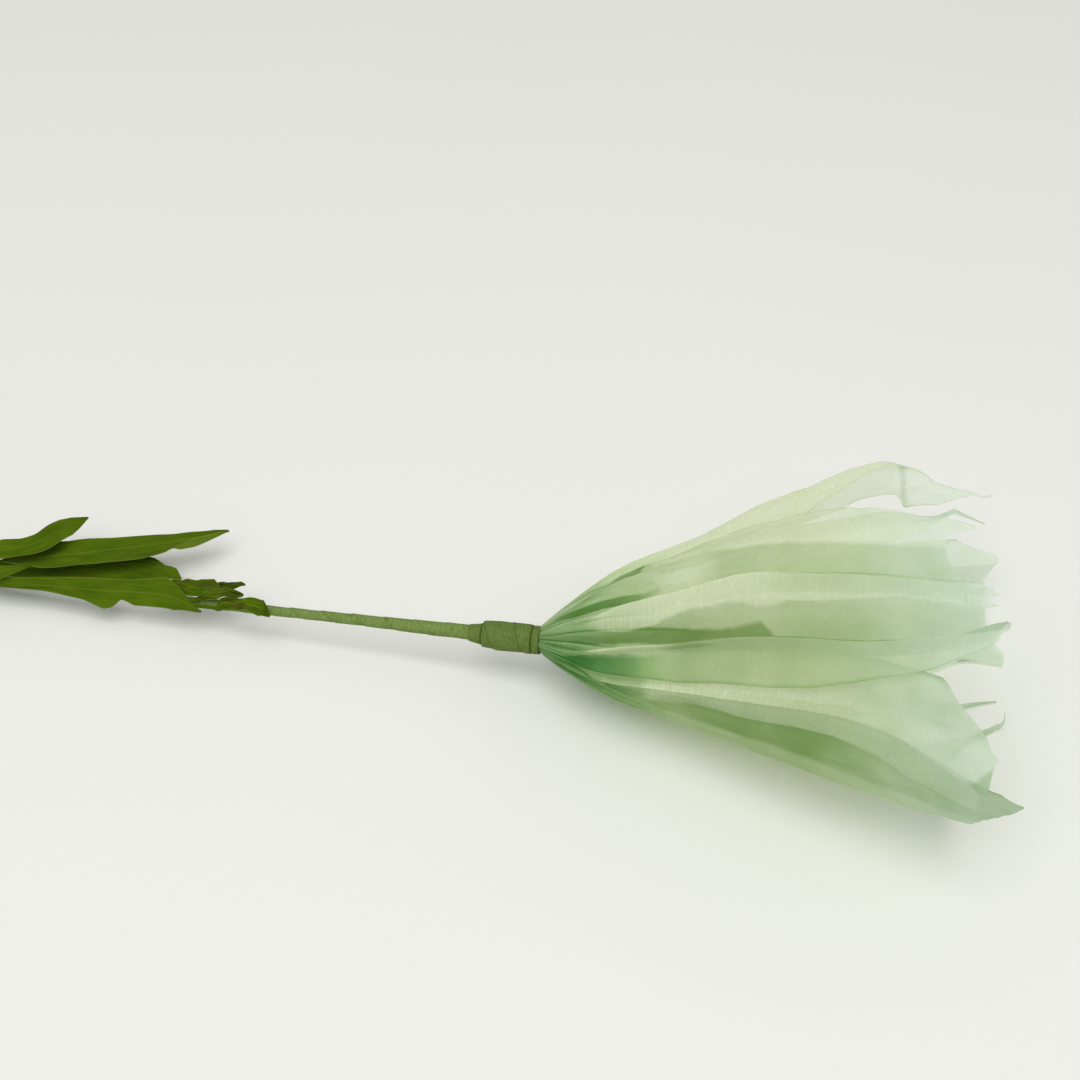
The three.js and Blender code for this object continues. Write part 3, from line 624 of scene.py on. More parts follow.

# %% Dye with painted shade and painted light, and chalk with a painted highlight
RIM_LINE = [(0.069, 0.86), (0.115, 0.78), (0.3, 0.78)]
FOOT_LINE = [(0.059, -0.78), (0.116, -0.55), (0.145, 0.1), (0.174, 0.88)]
DYE_AT_FOOT = [0.28, 0.28, 0.44, 0.5, 0.5, 1.0, 0.9, 0.6, 0.6, 0.5, 0.4]
# Regions where the dye mark is raised for painted shade, in the folds near the foot and on the lowest petal,
# or lowered for painted light on lit faces.
DYE_SHADE_AND_LIGHT = {
    1: [region([(0.03, 0.2), (0.1, 0.5), (0.2, 0.4), (0.28, 0.1), (0.32, 0)], edge=(0.03, 0.02),
               top=PLEAT_TOP, low=PLEAT_LOW)],
    2: [region([(0.13, 0), (0.17, -0.2), (0.3, -0.1), (0.4, 0)], edge=(0.02, 0.03),
               top=[(0, -0.04)], low=[(0.134, 0.18), (0.174, 0.35), (0.272, 0.43), (0.37, 0.3)]),
        region([(0.12, 0), (0.17, -0.2), (0.3, -0.1), (0.4, 0)], top=VALLEY_LOW, edge=(0.02, 0.1))],
    3: [region([(0.1, 0), (0.16, -0.25), (0.3, -0.15), (0.36, 0)], edge=(0.02, 0.04),
               top=[(0, -0.04)], low=RIM_LINE),
        region([(0.02, 0.2), (0.1, 0.6), (0.2, 0.5), (0.28, 0.25), (0.36, 0)], edge=(0.02, 0.1),
               top=RIM_LINE + [(0.34, 0.6)])],
    4: [region([(0.02, 0), (0.06, 0.2), (0.15, 0.1), (0.2, 0)], top=FOOT_LINE),
        region([(0.02, 0), (0.06, 0.4), (0.2, 0.4), (0.3, 0)], edge=(0.05, 0.05),
               top=FOOT_LINE, low=[(0.059, -0.7), (0.116, -0.45), (0.145, 0.3), (0.174, 1)])],
    5: [region([(0.3, 0), (0.6, 0.1), (0.9, 0.12), (1, 0.2)]),
        region([(0.25, 0), (0.4, 0.14), (0.65, 0.14), (0.85, 0.02)], low=[(0, -0.45)], edge=(0.1, 0.15))],
}
# Chalky places: loose fibres and a painted highlight on the lit faces; on the far petal's flag it is lowered
# so more light comes through.
CHALK_AND_HIGHLIGHT = {
    0: [region([(0.5, 0), (0.7, -0.12), (1, -0.12)])],
    1: [region([(0.26, 0), (0.32, 0.4), (0.5, 0.3), (0.65, 0)], edge=(0.3, 0.05),
               top=[(0, -0.6)], low=[(0.3, 0.05), (0.5, 0.1)])],
    2: [region([(0.12, 0), (0.17, 0.45), (0.35, 0.6), (0.5, 0.4), (0.6, 0.15), (0.8, 0.15), (0.95, 0.1)],
               top=[(0, -0.03)], edge=(0.03, 0.03),
               low=[(0.134, 0.12), (0.194, 0.38), (0.25, 0.43), (0.387, 0.33), (0.545, 0.4), (0.9, 0.28)]),
        region([(0.12, 0), (0.18, 0.4), (0.3, 0.3), (0.38, 0)], top=VALLEY_LOW, edge=(0.02, 0.1))],
    3: [region([(0.1, 0), (0.17, 0.35), (0.3, 0.35), (0.36, 0)], edge=(0.1, 0.03),
               low=[(0.069, 0.95), (0.119, 0.8), (0.185, 0.78), (0.258, 0.8), (0.341, 0.78)])],
    4: [region([(0.26, 0), (0.28, 0.4), (0.5, 0.5), (0.7, 0.15), (1, 0.1)], edge=(0.1, 0.3),
               low=[(0.27, 0.8), (0.42, 0.5), (0.6, 0.4)])],
}
print("dyed places on", len(DYE_SHADE_AND_LIGHT), "petals, chalky places on", len(CHALK_AND_HIGHLIGHT))

# %% [markdown]
# ## Pleats and crumples
# The collar presses small sharp pleats into the petals' feet, which fade out within a few centimetres,
# each at its own length. Each pleat's valley line and each of its facets get painted shade as well. The
# rest of the paper is slightly uneven from being handled. Both come from noise, so no two pleats are the
# same.

# %% Pleats and crumples of the paper
PLEAT_WIDTH = 10
PLEAT_DEPTH = 1.7
PLEAT_RUN = 40


def gathers(along, bearing):
    """The pleats that the collar presses into the paper: depth, and where to paint shade on valleys and
    facets.
    """
    place = bearing / PLEAT_WIDTH + 1.3 * noise.noise(Vector((bearing / 23, 0, 0)))
    number = math.floor(place)
    run = PLEAT_RUN + 26 * noise.cell(Vector((number + 0.5, 0.5, 0.5)))
    fade = smooth(along, -2, 8) * math.exp(-((max(along, 0) / run) ** 2))
    from_valley = abs(place - number - 0.5)
    facet = noise.cell(Vector((math.floor(2 * place) + 0.5, 4.5, 0.5)))
    return PLEAT_DEPTH * fade * tent(from_valley, 0, 1 / 2), fade * tent(from_valley, 0, 1 / 9), fade * facet


def crumple_height(i, along, bearing):
    """The slight unevenness of paper that has been handled."""
    spot = Vector((along / 26, bearing / 9, 3.1 * i))
    soft = noise.noise(spot)
    sharp = abs(noise.noise(spot * 2.3 + Vector((5, 0, 0))))
    return smooth(along, 10, 60) * (0.7 * soft - 0.8 * sharp)


print("pleats near the collar are", PLEAT_DEPTH, "mm deep")

# %% [markdown]
# ## One petal's surface
# A point on a petal is found in two steps: how far round the head it lies, from the fold to the lapped
# edge, and how far out of the bell it stands. The same function says where the point lies on the flat
# sheet, how dyed and chalky the paper is there, and where painted shade and painted light lie on it, so
# that shape and finish agree.


# %% Round the head
def fold_bearing(i, share):
    return through(PETALS[i % COUNT]["fold"], share) + 360 * (i // COUNT)


def seam_bearing(i, share):
    return lerp(fold_bearing(i, share), fold_bearing(i + 1, share), PETALS[i % COUNT]["seam"]["at"])


def round_radius(along, bearing):
    """Millimetres per radian round the head."""
    half, rise = bell_halves(along, bearing)
    return math.hypot(half * math.sin(math.radians(bearing)), rise * math.cos(math.radians(bearing)))


def lap_angle(i, along):
    """Half a seam's overlap in degrees, which never reaches a neighbour's fold."""
    share = along / HEAD_LENGTH
    seam = PETALS[i % COUNT]["seam"]
    width = lerp(FOOT_EDGE, seam["lap"], clamp(2 * share))
    room = min(seam["at"], 1 - seam["at"]) * (fold_bearing(i + 1, share) - fold_bearing(i, share))
    return min(math.degrees(width / round_radius(along, seam_bearing(i, share))), MOST_LAP * room)


print("the first seam near the mouth is at", round(seam_bearing(0, 0.9)), "degrees")

# %% A point of a petal
FOLDS_OPEN_BY = 0.225
DYE_FADES = (-12, 75)


def petal_marks(i, along, across, bearing):
    """The dye at a point with the painted shade and light it carries, the painted shade, and the chalk with
    its painted highlight.
    """
    share = along / HEAD_LENGTH
    wobble = noise.noise(Vector((along / 7, bearing / 3, i)))
    border = smooth(abs(across), 0.97, 1)
    crept = along + 8 * noise.noise(Vector((bearing / 8, along / 30, i)))
    valley, facet = gathers(along, bearing)[1:]
    # Dye fades from the foot; the pleats' valley lines and facets and the petal's edges add painted shade,
    # and the regions add painted shade and painted light.
    dye_and_painted_light = DYE_AT_FOOT[i] * (1 - smooth(crept, *DYE_FADES)) + 0.75 * valley + 0.2 * facet + 0.12 * border
    dye_and_painted_light += strength_at(DYE_SHADE_AND_LIGHT.get(i, []), share, across + 0.02 * wobble)
    # Painted shade from the regions, and painted shade along the petal's edges.
    shade = strength_at(PAINTED_SHADE.get(i, []), share + 0.004 * wobble, across + 0.02 * wobble) + 0.2 * border
    chalk_and_highlight = strength_at(CHALK_AND_HIGHLIGHT.get(i, []), share, across + 0.02 * wobble)
    return dict(dye_and_painted_light=dye_and_painted_light, shade=shade, chalk_and_highlight=chalk_and_highlight)


def petal_point(i, along, across):
    """The place of a point of petal i, its place on the flat sheet, and its marks for the finish."""
    pattern = PETALS[i]
    share = along / HEAD_LENGTH
    side, turn = (0, -1) if across < 0 else (1, 1)
    seam = PETALS[(i - 1 + side) % COUNT]["seam"]
    fold = fold_bearing(i, share)
    seam_at = seam_bearing(i - 1 + side, share)
    lap = turn * lap_angle(i - 1 + side, along)

    flank = min(abs(across) / LAP_LINE, 1) * (seam_at - lap - fold)
    edge = clamp((abs(across) - LAP_LINE) / (1 - LAP_LINE)) * 2 * lap
    longest = max(reach for _, reach in pattern["hem"])
    width = polyline(pattern["sides"][side], share / longest)
    bend, bent_at, reach = TAIL_BENDS.get(i, NOT_BENT)
    bearing = fold + width * (flank + edge) + bend * tent(share, bent_at, reach)

    opened = smooth(share, 0, FOLDS_OPEN_BY)
    step = lerp(FOOT_LAP, PETAL_LAP, clamp(share / 0.6)) / 2 * seam["over"] * turn
    down = clamp((bearing - fold) / (seam_at - lap - fold)) ** pattern["soft"]
    height = lerp(pattern["high"] * opened, seam["level"] * opened + step, down)
    height += along_lines(CREASES.get(i, []), share, across) - gathers(along, bearing)[0]
    height += crumple_height(i, along, bearing)
    amount, creased_at, reach = CROSS_CREASES.get(i, NOT_BENT)
    height += amount * tent(share, creased_at, reach)

    start, radius = TIP_ROLLS.get(i, NOT_ROLLED)
    rolled = max(0, share - start) * HEAD_LENGTH / radius
    height -= radius * (1 - math.cos(rolled))
    ahead = along if rolled == 0 else start * HEAD_LENGTH + radius * math.sin(rolled)

    sheet = Vector((along, math.radians(bearing - fold) * round_radius(along, bearing))) * MM
    return bell_point(ahead, bearing, height), sheet, petal_marks(i, along, across, bearing)


print("a fold near the mouth:", [round(x) for x in petal_point(2, 190, 0)[0]])

# %% [markdown]
# ## Making the sheets
# Each sheet starts as a flat grid with the paper's own UV map. Every point of the grid is put in its
# place by the formulas above, Solidify gives the paper its thickness, and the piece stands for the CAD
# node of the same name. A cloth simulation would make soft waves here, but paper keeps its creases.

# %% A sheet of paper
PETAL_THICKNESS = 0.22
LEAF_THICKNESS = 0.3
PAPER_CREASE = 28


def bent_grid(name, rows, cols, place):
    """A grid whose points are put where place says, with their UV on the flat sheet and their marks."""
    bpy.ops.object.select_all(action="DESELECT")
    bpy.ops.mesh.primitive_grid_add(x_subdivisions=rows, y_subdivisions=cols, size=1, calc_uvs=True)
    piece = bpy.context.object
    piece.name = name
    mesh = piece.data
    made = [place(vertex.co.x + 0.5, vertex.co.y + 0.5) for vertex in mesh.vertices]
    for mark in made[0][2]:
        mesh.attributes.new(mark, "FLOAT", "POINT")
    for vertex, (spot, sheet, marks) in zip(mesh.vertices, made):
        vertex.co = spot * MM
        for mark, value in marks.items():
            mesh.attributes[mark].data[vertex.index].value = value
    for loop, uv in zip(mesh.loops, mesh.uv_layers.active.data):
        uv.uv = made[loop.vertex_index][1]
    return piece


def stand_in(piece, node, finish, crease_angle):
    """Give the piece its finish and let it stand for a CAD node."""
    bpy.ops.object.shade_smooth_by_angle(angle=math.radians(crease_angle))
    piece.data.materials.clear()
    piece.data.materials.append(finish)
    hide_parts(node)
    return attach(piece, "root")


def paper_piece(node, rows, cols, place, finish, thickness):
    piece = bent_grid(node + "_paper", rows, cols, place)
    bpy.ops.object.modifier_add(type="SOLIDIFY")
    piece.modifiers[0].thickness = thickness * MM
    piece.modifiers[0].offset = 0
    bpy.ops.object.modifier_apply(modifier=piece.modifiers[0].name)
    return stand_in(piece, node, finish, PAPER_CREASE)


print("sheets are", PETAL_THICKNESS, "and", LEAF_THICKNESS, "mm thick")

# %% The eleven petals
PETAL_ROWS, PETAL_COLS = 190, 80


def make_petal(i):
    def place(u, v):
        across = 2 * v - 1
        reach = HEAD_LENGTH * polyline(PETALS[i]["hem"], across)
        return petal_point(i, lerp(-FOOT_LENGTH, reach, u), across)

    return paper_piece("petal_%02d" % (i + 1), PETAL_ROWS, PETAL_COLS, place, petal_paper,
                       PETAL_THICKNESS)


petals = [make_petal(i) for i in range(COUNT)]
print(sum(len(p.data.polygons) for p in petals), "faces in the petals")

# %% [markdown]
# ## Leaf paper
# The leaves are cut from heavier paper, dark moss green and quite matt, with a fine grain along them.
# A painted highlight runs along the midrib crease and the edges, one corner is painted paler as if
# turned over, and they are brownish where they have dried.

# %% Leaf paper finish
DARK_MOSS = (0.060, 0.125, 0.001, 1)
MOSS = (0.100, 0.165, 0.002, 1)
PALE_GRAIN = (0.150, 0.215, 0.008, 1)
DRY_BROWN = (0.075, 0.080, 0.008, 1)
PALE_HIGHLIGHT_GREEN = (0.20, 0.27, 0.03, 1)
leaf = Finish("leaf_paper")
leaf_uv = leaf.flat_sheet()
grain = leaf.cloud(leaf.cells(leaf_uv, (22, 0.9)), 3)
patches = leaf.cloud(leaf.cells(leaf_uv, (16, 9)), 3)
moss = leaf.mix(leaf.between(patches, 0.3, 0.7), DARK_MOSS, MOSS)
moss = leaf.mix(leaf.between(grain, 0.45, 0.75) * 0.45, moss, PALE_GRAIN)
moss = leaf.mix(leaf.clamp01(leaf.mark("dry")), moss, DRY_BROWN)
moss = leaf.mix(leaf.clamp01(leaf.mark("highlight_and_pale_corner")), moss, PALE_HIGHLIGHT_GREEN)
leaf_relief = leaf.bump(grain * 0.6 + patches, 0.0006, 0.7)
leaf_matt = leaf.matt(moss, leaf_relief, 0.8, 0.08)
leaf_glow = leaf.node("ShaderNodeBsdfTranslucent", {}, {"Color": (0.09, 0.17, 0.01, 1)})
leaf_paper = leaf.show(leaf.blend(0.18, leaf_matt, leaf_glow))
print("leaf paper has", len(leaf.tree.nodes), "nodes")

# %% [markdown]
# ## Leaves
# Each leaf follows a midrib that leaves the stem at its tied foot and floats beside it. A flat leaf on a
# Curve modifier would follow it too, but here the blade also has to turn from its foot to the side that
# it faces, so its points are placed along the midrib. The blade is folded a little, and a paler corner
# of one leaf looks turned over. The midribs are the CAD's own.

# %% Leaf lines
LEAF_FOOT_R = 2.95
LEAF_CLEAR = 3
LEAF_TURNED = 0.35
WRAP_BACK = 306
WRAP_LENGTH = 24
LEAVES = [
    # foot: the side of the stem that the foot lies on; back: where it lies, if not under the leaf tie
    # face: the bearing that the blade faces; fold: degrees of its fold; flap: the edge of a paler corner
    # line: places of the midrib (back from the collar, to the far side, above the table)
    # sides: pairs of (share of the blade, width) for its two sides
    dict(name="leaf_1", foot=80, face=105, fold=15,
         line=[(272.9, 7, 19), (257.5, 12.6, 21), (250.4, 17.7, 22), (246.3, 25.9, 22.5), (234.7, 38.8, 23)],
         sides=[[(0.3, 5), (0.4, 5.6), (0.53, 4.4), (0.83, 4.6), (0.9, 3.6), (1, 0.3)],
                [(0.3, 6.5), (0.5, 6.8), (0.62, 8.4), (0.74, 9.8), (0.84, 9), (0.9, 6.4), (1, 0.3)]]),
    dict(name="leaf_2", foot=15, face=97, fold=12,
         flap=[(0.785, 1.1), (0.8, 0.5), (0.85, 0.0), (1, -0.6)],
         line=[(272.2, 5.6, 14), (244.9, 14.6, 15.5), (223, 23.7, 16), (201, 33.1, 16), (182.1, 44, 15.5),
               (168.7, 54.6, 14)],
         sides=[[(0.2, 3), (0.35, 9.5), (0.43, 7.9), (0.5, 7.8), (0.75, 5.6), (0.95, 2.4), (1, 0.3)],
                [(0.2, 3), (0.33, 8.5), (0.53, 10.6), (0.68, 10.9), (0.76, 8),
                 (0.79, 5.3), (0.81, 8), (0.86, 7.6), (1, 0.3)]]),
    dict(name="leaf_3", foot=190, face=140, fold=4,
         line=[(260.9, -7.1, 14), (236.1, -4.9, 15), (211.2, -3.4, 16), (187.1, -1.5, 17),
               (173.3, -2.3, 17.4), (159.7, -6.2, 15)],
         sides=[[(0.25, 2.8), (0.58, 5.7), (0.74, 5.8), (0.85, 8.5), (0.9, 4.2), (0.95, 1.3), (1, 0.3)],
                [(0.4, 2.4), (0.55, 5), (0.63, 8.8), (0.66, 7.8), (0.69, 3.6), (0.74, 6.4),
                 (0.9, 5.8), (1, 0.6)]]),
    dict(name="leaf_4", foot=305, face=282, fold=-6,
         line=[(271.9, 12.2, 5.5), (247.1, 16.2, 7.5), (223.4, 22, 8.5), (204.5, 26.5, 9), (191, 25.3, 9.3),
               (180.7, 20, 9.3)],
         sides=[[(0.08, 2.5), (0.2, 7), (0.4, 10), (0.6, 13), (0.75, 12.5), (0.9, 8), (1, 0.6)],
                [(0.2, 4.2), (0.45, 5), (0.77, 4.2), (0.83, 4.6), (0.89, 1.9), (0.94, 3.1), (1, 0.3)]]),
    dict(name="leaf_5", foot=135, face=120, fold=8,
         line=[(271.6, -7.4, 16), (260.6, -5.4, 19.5), (246.9, 0.2, 21.5)],
         sides=[[(0.2, 3.5), (0.45, 5), (0.7, 3.2), (1, 0.3)],
                [(0.2, 3.5), (0.5, 4.3), (0.7, 3.9), (1, 0.3)]]),
    dict(name="leaflet_1", back=194, foot=60, face=105, fold=-6,
         line=[(181.9, 3, 17.5), (171, 3.7, 19), (161.9, 4, 20.5), (153.9, 5.2, 21)],
         sides=[[(0.3, 5.5), (0.45, 4.9), (0.9, 5.6), (1, 0.3)],
                [(0.3, 3), (0.5, 4.2), (0.8, 4), (0.9, 3.4), (1, 0.5)]]),
    dict(name="leaflet_2", back=184, foot=10, face=115, fold=8,
         line=[(171, 7, 16), (159.5, 8.6, 18.5), (150.6, 8, 21), (142.8, 8.6, 22.5)],
         sides=[[(0.7, 1.8), (0.8, 1.2), (0.95, 1.4), (1, 0.3)],
                [(0.7, 1.7), (0.75, 1.4), (0.85, 1.9), (1, 0.3)]]),
    dict(name="leaflet_3", back=160, foot=172, face=120, fold=-12,
         line=[(150.2, -2.5, 19), (142.3, -2.2, 20.3), (135, -3.3, 20.8), (129.3, -4.5, 20.5),
               (125.7, -5.7, 18.5)],
         sides=[[(0.2, 2.3), (0.5, 2.8), (0.65, 4.3), (0.78, 4.7), (0.9, 1.7), (1, 0.4)],
                [(0.2, 3.7), (0.65, 2.9), (0.85, 3.7), (1, 0.7)]]),
    dict(name="leaflet_4", back=172, foot=118, face=115, fold=-10,
         line=[(159.2, -0.5, 20.5), (152.9, 0.4, 22.5), (147.2, 1.1, 23), (140.9, 1.3, 22.5)],
         sides=[[(0.2, 1.1), (0.5, 2.6), (0.8, 2.2), (1, 0.3)],
                [(0.3, 2.6), (0.5, 3.2), (0.7, 2.3), (0.85, 2.3), (1, 0.6)]]),
]


def curve_points(points, steps=24):
    """A smooth line through points, as a list of close points (a centripetal Catmull-Rom curve)."""
    ends = [2 * points[0] - points[1]] + points + [2 * points[-1] - points[-2]]
    line = []
    for a, b, c, d in zip(ends, ends[1:], ends[2:], ends[3:]):
        before, here, after = ((q - p).length ** 0.5 for p, q in ((a, b), (b, c), (c, d)))
        leave = ((b - a) / before - (c - a) / (before + here) + (c - b) / here) * here
        arrive = ((c - b) / here - (d - b) / (here + after) + (d - c) / after) * here
        for k in range(steps):
            t = k / steps
            line.append(b + t * leave + t * t * (3 * (c - b) - 2 * leave - arrive)
                        + t ** 3 * (2 * (b - c) + leave + arrive))
    return line + [points[-1]]


print(len(LEAVES), "leaves")

# %% The leaves
LEAF_ROWS, LEAF_COLS = 110, 24
NO_FLAP = [(0, 2)]
FOOT_WIDTH = [(0, 1)]
LEAF = dict(tied=WRAP_LENGTH, crumple=0.8, cell=14, across=2, dry=0, patchy=0.6)
LEAFLET = dict(tied=8, crumple=1.7, cell=5, across=3, dry=0.2, patchy=1.1)


def measured_line(points):
    """A function that gives the place and direction at a distance along the points, and their length."""
    lengths = [0]
    for p, q in zip(points, points[1:]):
        lengths.append(lengths[-1] + (q - p).length)

    def at(distance):
        k = next((n for n, length in enumerate(lengths) if length > distance), len(lengths) - 1)
        k = max(k, 1)
        share = (distance - lengths[k - 1]) / (lengths[k] - lengths[k - 1])
        way = points[min(k + 1, len(points) - 1)] - points[max(k - 2, 0)]
        return points[k - 1].lerp(points[k], clamp(share)), way.normalized()

    return at, lengths[-1]


def make_leaf(number, pattern):
    kind = LEAFLET if pattern["name"].startswith("leaflet") else LEAF
    back, tied = pattern.get("back", WRAP_BACK), kind["tied"]
    ends = [back + tied / 2, back, back - tied / 2, back - tied / 2 - LEAF_CLEAR]
    blade = [table_point + Vector((-b, side, height)) for b, side, height in pattern["line"]]
    midrib = curve_points([beside_stem(b, pattern["foot"], LEAF_FOOT_R) for b in ends] + blade)
    on_midrib, length = measured_line(midrib)
    free = tied + LEAF_CLEAR / 2
    sides = [FOOT_WIDTH + side for side in pattern["sides"]]

    def place(u, v):
        across = 2 * v - 1
        distance = u * length
        grown = clamp((distance - free) / (length - free))
        spot, along = on_midrib(distance)
        turn = math.radians(lerp(pattern["foot"], pattern["face"], smooth(grown, 0, LEAF_TURNED)))
        out = Vector((0, math.cos(turn), math.sin(turn)))
        out = (out - out.project(along)).normalized()
        spread = polyline(sides[0 if across < 0 else 1], grown)
        bend = math.radians(pattern["fold"]) * smooth(grown, 0, 0.3)
        dent = noise.noise(Vector((distance / kind["cell"], kind["across"] * across, number)))
        lift = abs(across) * spread * math.sin(bend) + kind["crumple"] * smooth(grown, 0, 0.2) * dent
        spot = spot + along.cross(out) * (across * spread * math.cos(bend)) + out * lift
        flap = smooth(across - polyline(pattern.get("flap", NO_FLAP), grown), 0, 0.03)
        # Painted highlight along the midrib crease and the edges, and the corner painted paler.
        highlight_and_pale_corner = 0.4 * (1 - smooth(abs(across), 0, 0.06)) + 0.6 * smooth(abs(across), 0.93, 1) + 0.45 * flap
        dry = kind["dry"] + kind["patchy"] * noise.noise(Vector((distance / 9, 2 * across, number + 0.5)))
        return spot, Vector((distance, across * spread)) * MM, dict(highlight_and_pale_corner=highlight_and_pale_corner, dry=dry)

    return paper_piece(pattern["name"], LEAF_ROWS, LEAF_COLS, place, leaf_paper, LEAF_THICKNESS)


leaves = [make_leaf(number, pattern) for number, pattern in enumerate(LEAVES)]
print(sum(len(p.data.polygons) for p in leaves), "faces in the leaves")

# %% [markdown]
# ## Wound tape
# Paper tape is stretched as it is wound, so it has fine wrinkles across it, and each turn ends in a low
# ledge that climbs round the stem as a screw thread does. The tube below is a grid rolled up, with a
# saw-tooth round it for the ledge. The wrinkles get a painted highlight, and each ledge and groove a
# line of painted shade.

# %% Tape finish
TAPE_DARK = (0.115, 0.180, 0.030, 1)
TAPE_LIGHT = (0.160, 0.232, 0.055, 1)
TAPE_HIGHLIGHT = (0.24, 0.32, 0.10, 1)
TAPE_SHADED = (0.055, 0.095, 0.006, 1)
tape = Finish("stem_tape")
tape_uv = tape.flat_sheet()
wrinkles = tape.cloud(tape.cells(tape_uv, (0.6, 2.5), 0.4), 4)
blotches = tape.cloud(tape.cells(tape_uv, (4.5, 4.5)), 2)
tape_green = tape.mix(tape.between(blotches, 0.3, 0.7), TAPE_DARK, TAPE_LIGHT)
# Painted highlight on the wrinkles.
tape_green = tape.mix(tape.between(wrinkles, 0.35, 0.65) * 0.7, tape_green, TAPE_HIGHLIGHT)
# The shade mark: painted shade along the ledges and in the grooves, and the collar darker all over.
tape_green = tape.mix(tape.clamp01(tape.mark("shade")), tape_green, TAPE_SHADED)
tape_relief = tape.bump(wrinkles + blotches * 0.5, 0.0006, 1.0)
stem_tape = tape.show(tape.matt(tape_green, tape_relief, 0.75, 0.15))
print("tape has", len(tape.tree.nodes), "nodes")

# %% A wound tube
TUBE_SIDES = 56
TAPE_CREASE = 50


def wound_piece(name, backs, radius_at, bore, pitch, ledge, wander=0.0, dark=0.0, shaded_grooves=()):
    """Tape of a radius at each place back from the collar mouth, round a bore of (back, radius) pairs."""
    stations = [(back, radius_at(back), 1) for back in backs]
    stations += [(back, radius, 0) for back, radius in reversed(bore)]
    stations.append(stations[0])

    def place(u, v):
        back, radius, wound = stations[round(u * (len(stations) - 1))]
        turn = (back / pitch + v) % 1
        grip = wound * smooth(radius, 0, 1)
        rough = noise.noise(Vector((back / 5, 2 * math.cos(2 * math.pi * v), 2 * math.sin(2 * math.pi * v))))
        radius += grip * (ledge * (turn - 0.5) + 0.12 * rough)
        sway = wander * noise.noise(Vector((back / 55, 7, 0)))
        spot = beside_stem(back, 360 * v, radius) + stem_up * sway
        # The collar darker all over, and painted shade along each turn's ledge and in the grooves.
        shade = dark + wound * 0.3 * (1 - smooth(min(turn, 1 - turn), 0.0, 0.05))
        shade += sum(0.7 * wound * (1 - smooth(abs(back - groove), 0.2, 0.7)) for groove in shaded_grooves)
        return spot, Vector((back, 2 * math.pi * radius * v)) * MM, dict(shade=shade)

    piece = bent_grid(name + "_wound", len(stations) - 1, TUBE_SIDES, place)
    bpy.ops.object.mode_set(mode="EDIT")
    bpy.ops.mesh.select_all(action="SELECT")
    bpy.ops.mesh.remove_doubles(threshold=1e-6)
    bpy.ops.mesh.normals_make_consistent(inside=False)
    bpy.ops.object.mode_set(mode="OBJECT")
    return stand_in(piece, name, stem_tape, TAPE_CREASE)


def steps(start, end, step):
    count = round(abs(end - start) / step)
    return [lerp(start, end, k / count) for k in range(count + 1)]


print("a wound tube has", TUBE_SIDES, "sides")

# %% [markdown]
# ## Stem, collar and leaf tie
# The stem swells towards the head, where more turns of tape lie on each other, and it isn't quite
# straight. The collar is a wider band with a groove near its mouth, and at its back it ends in a lip
# over a short cone, where the tape was pulled tight. The leaf tie is a plain short winding.

# %% The stem, the collar and the leaves' wrap
STEM_END = 0.3
STEM_BORE = 1.5
COLLAR_BACK, COLLAR_FRONT = 32, -1.2
COLLAR_LIP = 25.4
COLLAR_GROOVE = 2.2
WRAP_R = 4.45
WRAP_BORE = 3.77


def stem_radius(back):
    return through([3.4, 3.24, 2.74, 2.5, 2.3], (back - 28) / 84)


def collar_radius(back):
    """A plain band, a groove near its mouth, and at its back a lip over a short cone."""
    if back > COLLAR_LIP:
        return polyline([(COLLAR_LIP, 5.1), (COLLAR_BACK, 3.75)], back)
    band = polyline([(COLLAR_FRONT, 6.4), (4, 6.65), (18, 6.65), (24, 6.1), (COLLAR_LIP, 5.9)], back)
    return band - 0.5 * tent(back, COLLAR_GROOVE, 0.6)


stem = wound_piece("stem_tape", steps(STEM_LENGTH, STEM_END, 1.2), stem_radius,
                   [(STEM_LENGTH, STEM_BORE), (STEM_END, STEM_BORE)], pitch=15, ledge=0.25, wander=1.0)
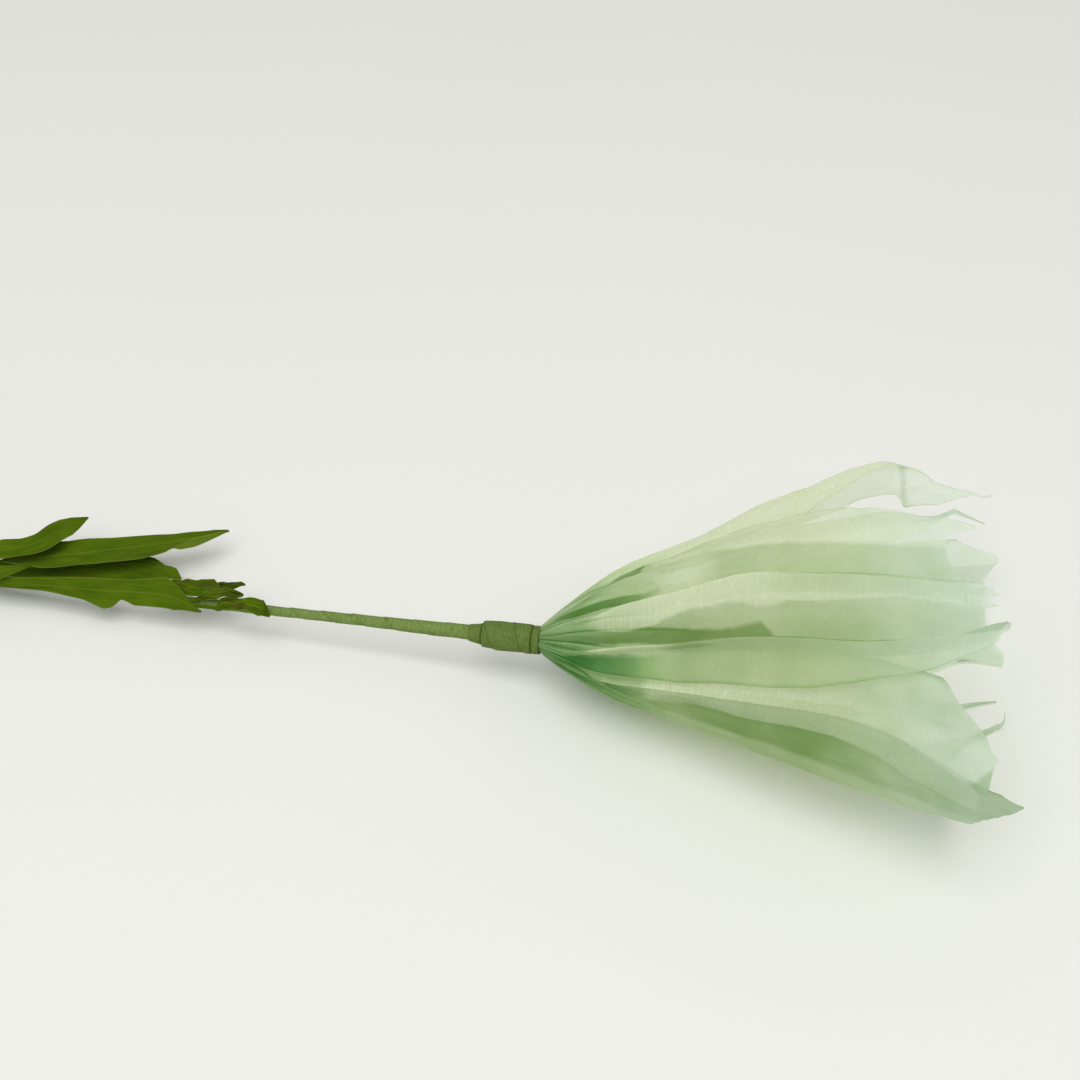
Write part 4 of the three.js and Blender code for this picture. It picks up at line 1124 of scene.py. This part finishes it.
# The collar gets painted shade in its groove and under its lip.
collar = wound_piece("collar_wrap", steps(COLLAR_BACK, COLLAR_FRONT, 0.4), collar_radius,
                     [(COLLAR_BACK, 3.7), (16, 3.7), (15, 5.25), (COLLAR_FRONT, 5.25)],
                     pitch=14, ledge=0.3, dark=0.43, shaded_grooves=[COLLAR_GROOVE, COLLAR_LIP + 0.2])
wrap_ends = WRAP_BACK + WRAP_LENGTH / 2, WRAP_BACK - WRAP_LENGTH / 2
leaf_wrap = wound_piece("leaf_wrap", steps(*wrap_ends, 0.8), lambda back: WRAP_R,
                        [(back, WRAP_BORE) for back in wrap_ends], pitch=8, ledge=0.3)
print("wound:", stem.name, collar.name, leaf_wrap.name)

# %% [markdown]
# ## The wire's end
# Only the cut end of the core wire shows, at the stem's foot. The CAD solid is right as it is, and gets
# a dull drawn-steel finish with fine scratches round it.

# %% Wire finish
wire = Finish("core_wire")
wire_at = wire.node("ShaderNodeTexCoord", {}, {}, out=3)
scratches = wire.cloud(wire.cells(wire_at, (3, 0.25)), 2)
steel = wire.mix(scratches, (0.30, 0.30, 0.31, 1), (0.55, 0.55, 0.56, 1))
core_wire = wire.show(wire.node("ShaderNodeBsdfPrincipled", {}, {
    "Base Color": steel, "Metallic": 1.0, "Roughness": 0.35 + scratches * 0.2}))
wire_end = frame["nodes"]["stem_wire"]
wire_end.data.materials.clear()
wire_end.data.materials.append(core_wire)
print("the wire's end is", wire_end.name)

# %% [markdown]
# ## The table
# A wide white card. It only catches the soft shadow, and isn't part of the flower.

# %% Table
card = Finish("white_card")
card_at = card.node("ShaderNodeTexCoord", {}, {}, out=3)
mottle = card.cloud(card.cells(card_at, (330, 330)), 2)
card_white = card.mix(mottle, (0.815, 0.821, 0.775, 1), (0.835, 0.84, 0.80, 1))
white_card = card.show(card.node("ShaderNodeBsdfPrincipled", {}, {
    "Base Color": card_white, "Roughness": 0.6, "Specular IOR Level": 0.15}))
bpy.ops.mesh.primitive_grid_add(x_subdivisions=8, y_subdivisions=8, size=6, location=(0, 1, 0))
table = bpy.context.object
table.name = "table"
table.data.materials.append(white_card)
print("table is", [round(x, 1) for x in table.dimensions])
